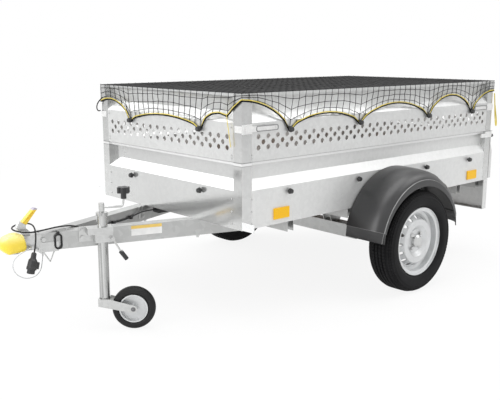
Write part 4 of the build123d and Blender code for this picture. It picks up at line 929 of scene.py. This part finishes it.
def rimRoute(across, along, values):
    # once round a plate, closer points where the wire bends
    (x0, x1), low, high = values["ends"], values["low"], values["high"]
    bend = (high - low) / 2
    near, far = (x0 + bend, x0 + bend * 3), (x1 - bend * 3, x1 - bend)
    corners = [(x, low) for x in (*near, *far, x1)]
    corners += [(x, high) for x in (x1, *reversed(far), *reversed(near), x0)]
    corners.append((x0, low))
    return [
        (x if along > 0 else 2 * values["middle"] - x, values["out"] * across, z)
        for x, z in corners
    ]


for number, (across, along) in enumerate(((-1, 1), (-1, -1), (1, 1), (1, -1)), 1):
    route = rimRoute(across, along, latchRim)
    piece = addCurve(f"latchRim{number}", route, latchRim["radius"], True)
    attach(piece, "root")
    # dark tone: painted shade round the plate
    dressed.append((piece, "dark_zinc"))
print("stage: rivets and latch rims")

# blank label on the near beam, a coloured strip over a pale field
label = {
    # name: low and high corner as (along the trailer, height), finish
    "parts": {
        "labelField": ((-0.9275, 0.4185), (-0.7880, 0.4505), "label_white"),
        "labelStrip": ((-0.9275, 0.4505), (-0.7880, 0.4655), "label_yellow"),
    },
    "proud": 0.0006,
    # the beam's side: where the two beams meet, its slope and its way out there
    "apex": -1.2795,
    "slant": 0.33427,
    "across": 0.03163,
}


def addLabel(name, lowCorner, highCorner, values):
    (x0, z0), (x1, z1) = lowCorner, highCorner

    def onBeam(x, z, out):
        y = -((x - values["apex"]) * values["slant"] + values["across"])
        turn = math.atan(values["slant"])
        return (x - math.sin(turn) * out, y - math.cos(turn) * out, z)

    corners = [onBeam(x, z, 0) for x, z in ((x0, z0), (x1, z0), (x1, z1), (x0, z1))]
    piece = startPoint(name, corners[0])
    drawOutline(corners)
    bpy.ops.mesh.select_all(action="SELECT")
    bpy.ops.mesh.edge_face_add()
    bpy.ops.mesh.normals_make_consistent(inside=False)
    away = Vector(onBeam(x0, z0, values["proud"])) - Vector(corners[0])
    bpy.ops.mesh.extrude_region_move(TRANSFORM_OT_translate={"value": away})
    closeUp(piece)
    return piece


for name, (lowCorner, highCorner, finish) in label["parts"].items():
    piece = addLabel(name, lowCorner, highCorner, label)
    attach(piece, "root")
    dressed.append((piece, finish))

# bracket of two upright bars on the far beam's inner side, the second one with a nut
bracket = {
    "bars": ((-0.6690, 0.0130), (-0.6400, 0.0180)),  # place along the trailer, width
    "low": 0.404,
    "high": 0.468,
    "sheet": 0.004,
    "gap": 0.0002,
    "nutRadius": 0.0075,
    "nutHeight": 0.006,
    "nutUp": 0.014,
    "bevel": 0.0009,
}


def addBracket(name, values):
    low, high, sheet = values["low"], values["high"], values["sheet"]
    turn = math.atan(label["slant"])

    def beamSide(x):
        return (x - label["apex"]) * label["slant"] - label["across"]

    piece = None
    for x, width in values["bars"]:
        piece = addShape(
            piece,
            name,
            bpy.ops.mesh.primitive_cube_add,
            size=1,
            location=(x, beamSide(x) - values["gap"] - sheet / 2, (low + high) / 2),
            rotation=(0, 0, turn),
            scale=(width, sheet, high - low),
        )
    addShape(
        piece,
        name,
        bpy.ops.mesh.primitive_cylinder_add,
        vertices=6,
        radius=values["nutRadius"],
        depth=values["nutHeight"],
        location=(x, beamSide(x) - sheet - values["nutHeight"] / 2, low + values["nutUp"]),
        rotation=(math.pi / 2, 0, turn),
    )
    soften(piece, values["bevel"])
    closeUp(piece)
    return piece


piece = addBracket("beamBracket", bracket)
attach(piece, "root")
dressed.append((piece, "zinc_fittings"))
print("stage: label and bracket")


class Flow:
    # one output socket; an expression on flows adds its maths nodes
    def __init__(self, finish, socket):
        self.finish = finish
        self.socket = socket

    def __add__(self, other):
        return self.finish.sum("ADD", self, other)

    def __radd__(self, other):
        return self.finish.sum("ADD", other, self)

    def __sub__(self, other):
        return self.finish.sum("SUBTRACT", self, other)

    def __rsub__(self, other):
        return self.finish.sum("SUBTRACT", other, self)

    def __mul__(self, other):
        return self.finish.sum("MULTIPLY", self, other)

    def __rmul__(self, other):
        return self.finish.sum("MULTIPLY", other, self)

    def __gt__(self, other):
        return self.finish.sum("GREATER_THAN", self, other)


class Finish:
    # a material built from nodes on the piece's own coordinates, or the nodes of a world
    def __init__(self, name, world=None):
        self.owner = world or bpy.data.materials.new(name)
        self.owner.use_nodes = True
        self.tree = self.owner.node_tree
        self.tree.nodes.clear()
        if world is None:
            self.place = self.node("ShaderNodeTexCoord", {}, {}, "Object")

    def node(self, kind, settings, inputs, output=0):
        made = self.tree.nodes.new(kind)
        for name, value in settings.items():
            setattr(made, name, value)
        for name, value in inputs.items():
            if isinstance(value, Flow):
                self.tree.links.new(value.socket, made.inputs[name])
            else:
                made.inputs[name].default_value = value
        return Flow(self, made.outputs[output]) if made.outputs else None

    def sum(self, operation, *values):
        return self.node("ShaderNodeMath", {"operation": operation}, dict(enumerate(values)))

    def ray(self, kind):
        return self.node("ShaderNodeLightPath", {}, {}, kind)

    def stretched(self, scale):
        return self.node("ShaderNodeMapping", {}, {"Vector": self.place, "Scale": scale})

    def noise(self, scale, detail=4, rough=0.55, where=None):
        where = where or self.place
        inputs = {"Vector": where, "Scale": scale, "Detail": detail, "Roughness": rough}
        return self.node("ShaderNodeTexNoise", {}, inputs)

    def cells(self, scale, output="Distance"):
        inputs = {"Vector": self.place, "Scale": scale}
        return self.node("ShaderNodeTexVoronoi", {}, inputs, output)

    def flakes(self, scale):
        # a grey of its own for each cell
        return self.node("ShaderNodeRGBToBW", {}, {"Color": self.cells(scale, "Color")})

    def split(self, axis):
        return self.node("ShaderNodeSeparateXYZ", {}, {"Vector": self.place}, axis)

    def smooth(self, value, low, high, first=0.0, last=1.0):
        inputs = {"Value": value, "From Min": low, "From Max": high}
        inputs.update({"To Min": first, "To Max": last})
        return self.node("ShaderNodeMapRange", {"interpolation_type": "SMOOTHSTEP"}, inputs)

    def band(self, value, full, gone, strength):
        # strength where a value is near zero, and nothing further off
        return self.smooth(self.sum("ABSOLUTE", value), full, gone, strength, 0.0)

    def blend(self, mask, first, second):
        first = first if isinstance(first, Flow) else (*first, 1)
        second = second if isinstance(second, Flow) else (*second, 1)
        return self.node("ShaderNodeMix", {"data_type": "RGBA"}, {0: mask, 6: first, 7: second}, 2)

    def bump(self, height, strength, distance):
        inputs = {"Height": height, "Strength": strength, "Distance": distance}
        return self.node("ShaderNodeBump", {}, inputs)

    def close(self, colour, roughness, metallic, normal, **fixed):
        # fixed names the shader's own sockets, with _ for their spaces
        inputs = {"Base Color": colour, "Roughness": roughness, "Metallic": metallic}
        inputs["Normal"] = normal
        inputs.update({name.replace("_", " "): value for name, value in fixed.items()})
        self.finishWith(self.node("ShaderNodeBsdfPrincipled", {}, inputs, "BSDF"))
        return self.owner

    def finishWith(self, shader, kind="ShaderNodeOutputMaterial"):
        self.node(kind, {}, {"Surface": shader})


def shade(tone, factor):
    # a tone, darker or paler
    return tuple(min(1, part * factor) for part in tone)


# painted light along the upper edge of a wall, from the joint with the extension downwards: a pale
# painted highlight on the lip, a painted shadow under the lip and painted shade in the joint
wallPaintedLight = {
    "joint": 0.774,
    # depth below the joint, half width, half width with its soft edge, strength
    # lip is a painted highlight, fold a painted shadow under the lip, line painted shade in the
    # joint
    "lip": (0.0078, 0.0046, 0.0062, 0.75),
    "fold": (0.0158, 0.0006, 0.0024, 0.40),
    "line": (0.0, 0.0008, 0.0030, 0.62),
    # the colour of the painted highlight, and how dark the painted shadow and shade are
    "paintedSheen": (0.90, 0.90, 0.90),
    "shaded": 0.16,
}


def zincSheet(name, tone, spangle, low, high, contrast, metal, paintedLight=None):
    f = Finish(name)
    flakes = f.flakes(spangle)
    clouds = f.noise(1.7, 5)
    rolled = f.noise(7, 3, where=f.stretched((1, 1, 9)))
    patches = f.smooth(flakes * 0.40 + clouds * 0.42 + rolled * 0.18, 0.3, 0.7)
    colour = f.blend(patches, shade(tone, 1 - contrast), shade(tone, 1 + contrast))
    roughness = low + (flakes * 0.4 + clouds * 0.6) * (high - low)
    if paintedLight:
        # painted light: the lip paler as if lit, and darker bands for the shadow under it and the
        # shade in the joint
        height = f.split(2) - paintedLight["joint"]
        lip, fold, line = (
            f.band(height + below, *widths)
            for below, *widths in (paintedLight["lip"], paintedLight["fold"], paintedLight["line"])
        )
        # painted highlight on the lip
        colour = f.blend(lip, colour, paintedLight["paintedSheen"])
        # painted shadow under the lip and painted shade in the joint
        colour = f.blend(f.sum("MAXIMUM", line, fold), colour, shade(tone, paintedLight["shaded"]))
    return f.close(colour, roughness, metal, f.bump(f.noise(11, 2, 0.4), 0.010, 0.001))


def dullPlastic(name, tone, roughness, grain=900, gloss=0.5):
    f = Finish(name)
    patches = f.noise(6, 4)
    colour = f.blend(f.smooth(patches, 0.3, 0.7), shade(tone, 0.85), shade(tone, 1.18))
    pores = f.cells(grain) * 0.6 + f.noise(grain * 0.6, 2) * 0.4
    roughness = roughness + (patches - 0.5) * 0.14
    normal = f.bump(pores, 0.25, 0.0006)
    return f.close(colour, roughness, 0.0, normal, Specular_IOR_Level=gloss)


def rubber(name, tone, roughness, gloss):
    f = Finish(name)
    dust = f.noise(11, 5)
    colour = f.blend(f.smooth(dust, 0.35, 0.75), tone, shade(tone, 1.9))
    normal = f.bump(f.noise(420, 3), 0.2, 0.0006)
    return f.close(colour, roughness + dust * 0.2, 0.0, normal, Specular_IOR_Level=gloss)


def drawnTube(name, tone, low, high, metal):
    # fine streaks along an upright tube
    f = Finish(name)
    dust = f.noise(9, 4)
    streaks = f.noise(1, 4, 0.65, f.stretched((95, 95, 1.2))) * 0.8 + dust * 0.2
    colour = f.blend(f.smooth(streaks, 0.36, 0.64), shade(tone, 0.66), shade(tone, 1.22))
    normal = f.bump(f.noise(11, 2, 0.4), 0.010, 0.001)
    return f.close(colour, low + dust * (high - low), metal, normal)


def paintedTopLight(name, low, high, tone, other, roughness):
    # painted light: one tone at the foot and a paler one at the top, where light from above falls,
    # with a soft change between two heights
    f = Finish(name)
    patches = f.noise(40, 3)
    # painted light: paler above the change
    colour = f.blend(f.smooth(f.split(2) + (patches - 0.5) * 0.004, low, high), tone, other)
    roughness = roughness + (patches - 0.5) * 0.08
    normal = f.bump(f.noise(420, 2), 0.12, 0.0004)
    return f.close(colour, roughness, 0.0, normal, Specular_IOR_Level=0.4)


def gripped(name, tone, other, at, metal, roughness=0.40, change=0.0006):
    # a moulded grip below a height, and above it bare metal or paint
    f = Finish(name)
    patches = f.noise(60, 3)
    mask = f.smooth(f.split(2) + (patches - 0.5) * 0.0008, at - change, at + change)
    metallic = f.smooth(mask, 0, 1, 0.0, metal) if metal else 0.0
    normal = f.bump(f.noise(500, 2), 0.15, 0.0004)
    roughness = roughness + (patches - 0.5) * 0.1
    return f.close(f.blend(mask, tone, other), roughness, metallic, normal)


def lens(name, tone, pitch):
    f = Finish(name)
    prisms = f.cells(pitch)
    colour = f.blend(f.smooth(prisms, 0.1, 0.7), shade(tone, 1.05), shade(tone, 0.95))
    return f.close(colour, 0.30, 0.0, f.bump(prisms, 0.12, 0.001), Specular_IOR_Level=0.3)


def board(name, tone, other):
    # coated plywood with a fine mesh pressed into it
    f = Finish(name)
    grain = f.noise(5, 6, where=f.stretched((1, 14, 14)))
    colour = f.blend(f.smooth(grain, 0.3, 0.7), tone, other)
    return f.close(colour, 0.42 + grain * 0.2, 0.0, f.bump(f.cells(260), 0.3, 0.0006))


def paintedSilver(name, tone):
    f = Finish(name)
    dust = f.noise(14, 4)
    fleck = f.flakes(1500) * 0.4 + dust * 0.6
    colour = f.blend(f.smooth(fleck, 0.3, 0.7), shade(tone, 0.86), shade(tone, 1.1))
    normal = f.bump(f.noise(240, 2), 0.08, 0.0005)
    return f.close(colour, 0.3 + dust * 0.14, 0.55, normal, Coat_Weight=0.3)


def mouldedGuard(name, tone, sheenTone, values):
    # black moulding, with a pale painted highlight along its side edge and along the top of each
    # flap
    f = Finish(name)
    patches = f.noise(6, 4)
    colour = f.blend(f.smooth(patches, 0.3, 0.7), shade(tone, 0.85), shade(tone, 1.18))
    (x, z), start, (edge, side) = values["centre"], values["start"], values["paintedSheen"]
    along = f.sum("ABSOLUTE", f.split(0) - x)
    up = f.split(2) - z
    radius = f.sum("SQRT", along * along + up * up)
    outer = f.sum("ABSOLUTE", f.split(1)) > side
    # painted highlight along the ridge at the side edge
    paintedSheen = f.band(radius - edge, 0.0008, 0.0022, 0.75) * outer
    # painted highlight along the top of each flap
    ledge = f.band(up * math.cos(start) - along * math.sin(start), 0.0010, 0.0024, 0.35)
    sheenMask = f.sum("MAXIMUM", paintedSheen, ledge) * (f.noise(30, 3) + 0.5)
    colour = f.blend(sheenMask, colour, sheenTone)
    pores = f.cells(900) * 0.6 + f.noise(540, 2) * 0.4
    roughness = 0.34 + (patches - 0.5) * 0.10
    normal = f.bump(pores, 0.2, 0.0005)
    return f.close(colour, roughness, 0.0, normal, Specular_IOR_Level=0.62)


finishes = {
    # zinc: name, tone, flakes to a metre, roughness from and to, contrast, metal, painted light at
    # a wall's upper edge
    "galvanised_sheet": zincSheet(
        "galvanisedSheet", (0.66, 0.665, 0.66), 62, 0.30, 0.38, 0.04, 0.60, wallPaintedLight
    ),
    "polished": zincSheet(
        "polishedSheet", (0.575, 0.58, 0.575), 62, 0.12, 0.17, 0.03, 0.72, wallPaintedLight
    ),
    "post": zincSheet("postSheet", (0.59, 0.595, 0.59), 62, 0.14, 0.20, 0.04, 0.72, wallPaintedLight),
    "side": zincSheet("sideSheet", (0.69, 0.695, 0.69), 62, 0.36, 0.44, 0.03, 0.42, wallPaintedLight),
    "galvanised_frame": zincSheet(
        "galvanisedFrame", (0.47, 0.475, 0.47), 38, 0.26, 0.40, 0.07, 0.85
    ),
    "latch": zincSheet("latchPlate", (0.80, 0.80, 0.795), 90, 0.26, 0.36, 0.04, 0.5),
    "zinc_fittings": zincSheet("zincFittings", (0.56, 0.565, 0.56), 90, 0.24, 0.36, 0.05, 0.9),
    "dark_zinc": zincSheet("darkZinc", (0.20, 0.20, 0.205), 120, 0.30, 0.45, 0.06, 0.8),
    "tube": drawnTube("drawnTube", (0.52, 0.525, 0.52), 0.16, 0.26, 0.85),
    "rim_silver": paintedSilver("rimSilver", (0.65, 0.66, 0.665)),
    # plastic and cords: name, tone, roughness, grain to a metre, gloss
    "black_plastic": dullPlastic("blackPlastic", (0.025, 0.025, 0.026), 0.42),
    "yellow_plastic": dullPlastic("yellowPlastic", (0.79, 0.575, 0.055), 0.40),
    "hem_yellow": dullPlastic("hemYellow", (0.74, 0.60, 0.12), 0.62, 1600, 0.2),
    "label_white": dullPlastic("labelField", (0.84, 0.84, 0.83), 0.45, 700, 0.3),
    "label_yellow": dullPlastic("labelStrip", (0.86, 0.60, 0.16), 0.45, 700, 0.3),
    "black_net": dullPlastic("netCord", (0.007, 0.007, 0.0075), 0.75, 1400, 0.15),
    "black_cable": dullPlastic("cableSheath", (0.014, 0.014, 0.015), 0.48, 1800, 0.35),
    "steel_wire": dullPlastic("sheathedWire", (0.52, 0.53, 0.54), 0.28, 2200),
    # the pale tone is the colour of the painted highlight along the guard's edges
    "guard": mouldedGuard("mouldedGuard", (0.022, 0.022, 0.023), (0.26, 0.26, 0.26), mudguard),
    # painted light, paler at the top: name, from and to height, the tone at the foot, the tone at
    # the top, roughness
    # the top of the net painted paler, as lit from above
    "net_cord": paintedTopLight(
        "netTwine", 1.060, 1.076, (0.007, 0.007, 0.0075), (0.014, 0.014, 0.0145), 0.70
    ),
    # the nose cover's top painted paler, as lit from above
    "nose_yellow": paintedTopLight(
        "noseYellow", 0.440, 0.482, (0.89, 0.68, 0.070), (0.94, 0.83, 0.29), 0.38
    ),
    # grips: name, tone, the tone above, height of the change, metal above
    "lever": gripped("leverGrip", (0.022, 0.022, 0.024), (0.56, 0.565, 0.56), 0.3755, 0.9),
    "handle": gripped("handleGrip", (0.79, 0.55, 0.045), (0.40, 0.37, 0.45), 0.5785, 0.0),
    "tyre_rubber": rubber("tyreRubber", (0.0065, 0.0065, 0.007), 0.60, 0.20),
    "jockey_rubber": rubber("jockeyRubber", (0.0090, 0.0090, 0.0095), 0.44, 0.30),
    # lenses: name, tone, prisms to a metre
    "amber_lens": lens("amberLens", (0.92, 0.51, 0.004), 260),
    "white_lens": lens("whiteLens", (0.80, 0.81, 0.81), 170),
    "red_lens": lens("redLens", (0.48, 0.015, 0.015), 170),
    "plywood": board("filmBoard", (0.105, 0.062, 0.038), (0.17, 0.105, 0.066)),
}

# CAD nodes with a finish of their own
finishOf = {
    "clamp_lever": "lever",
    "jockey_tube": "tube",
    "jockey_leg": "tube",
    "wall_front": "polished",
    "wall_left": "side",
    "wall_right": "side",
    "extension_latches": "latch",
    "tailgate_latches": "latch",
    "corner_posts": "post",
    "extension_posts": "post",
}

# the record's slot of each CAD node gives its finish
slotOf = {row["node"]: row["material_slot"] for row in frame["record"]["subparts"]}
for name, node in nodes.items():
    node.data.materials.clear()
    node.data.materials.append(finishes[finishOf.get(name, slotOf[name])])
for piece, finish in dressed:
    piece.data.materials.append(finishes[finish])
print("stage: finishes")

# studio: pale floor, soft lamps, white beyond
studio = {
    "floorHalf": 30,
    "floorDrop": 0.0006,
    "paper": (0.88, 0.88, 0.88, 1),
    "fade": (1.6, 5.0, 0.88),  # from and to this far away, and how white it is at the start
    "mirrored": 0.45,  # how much of the white the floor shows in metal
    "ambient": 0.62,
    "aim": (0.2, 0, 0.5),
    "lamps": (
        # name, place, size, power
        ("keyLamp", (3.8, -3.4, 4.7), 4.0, 95),
        ("backLamp", (-2.8, 4.8, 3.4), 4.0, 95),
        ("topLamp", (0.3, 0.4, 6.0), 7.0, 260),
        ("frontLamp", (-5.6, -1.0, 3.0), 4.0, 120),
    ),
}


def addStudio(values):
    white = (1, 1, 1, 1)
    bpy.ops.object.select_all(action="DESELECT")
    bpy.ops.mesh.primitive_plane_add(
        size=2 * values["floorHalf"], location=(0, 0, -values["floorDrop"])
    )
    floor = bpy.context.object
    floor.name = "studioFloor"
    f = Finish("studioPaper")
    paper = f.node("ShaderNodeBsdfDiffuse", {}, {"Color": values["paper"]})
    glow = f.node("ShaderNodeEmission", {}, {"Color": white, "Strength": 1.0})
    # the paper fades into the white beyond it
    away = f.node("ShaderNodeVectorMath", {"operation": "LENGTH"}, {0: f.place}, 1)
    direct = f.ray("Is Camera Ray") * f.smooth(away, *values["fade"], 1.0)
    mirrored = f.ray("Is Glossy Ray") * values["mirrored"]
    f.finishWith(f.node("ShaderNodeMixShader", {}, {0: direct + mirrored, 1: paper, 2: glow}))
    floor.data.materials.append(f.owner)
    for name, place, size, power in values["lamps"]:
        lampData = bpy.data.lights.new(name, "AREA")
        lampData.shape = "DISK"
        lampData.size = size
        lampData.energy = power
        aimAt(addObject(name, lampData), place, values["aim"])
    # the world lights softly, and is white where the camera, metal or a lens sees it
    world = bpy.data.worlds.new("studioWorld")
    bpy.context.scene.world = world
    w = Finish("studioWorld", world)
    seen = w.sum("MAXIMUM", w.ray("Is Camera Ray"), w.ray("Is Glossy Ray"))
    seen = w.sum("MAXIMUM", seen, w.ray("Is Transmission Ray"))
    level = {"Value": seen, "To Min": values["ambient"], "To Max": 1.0}
    strength = w.node("ShaderNodeMapRange", {}, level)
    sky = w.node("ShaderNodeBackground", {}, {"Color": white, "Strength": strength})
    w.finishWith(sky, "ShaderNodeOutputWorld")
    bpy.context.scene.view_settings.view_transform = "Standard"


addStudio(studio)
print("stage: studio")
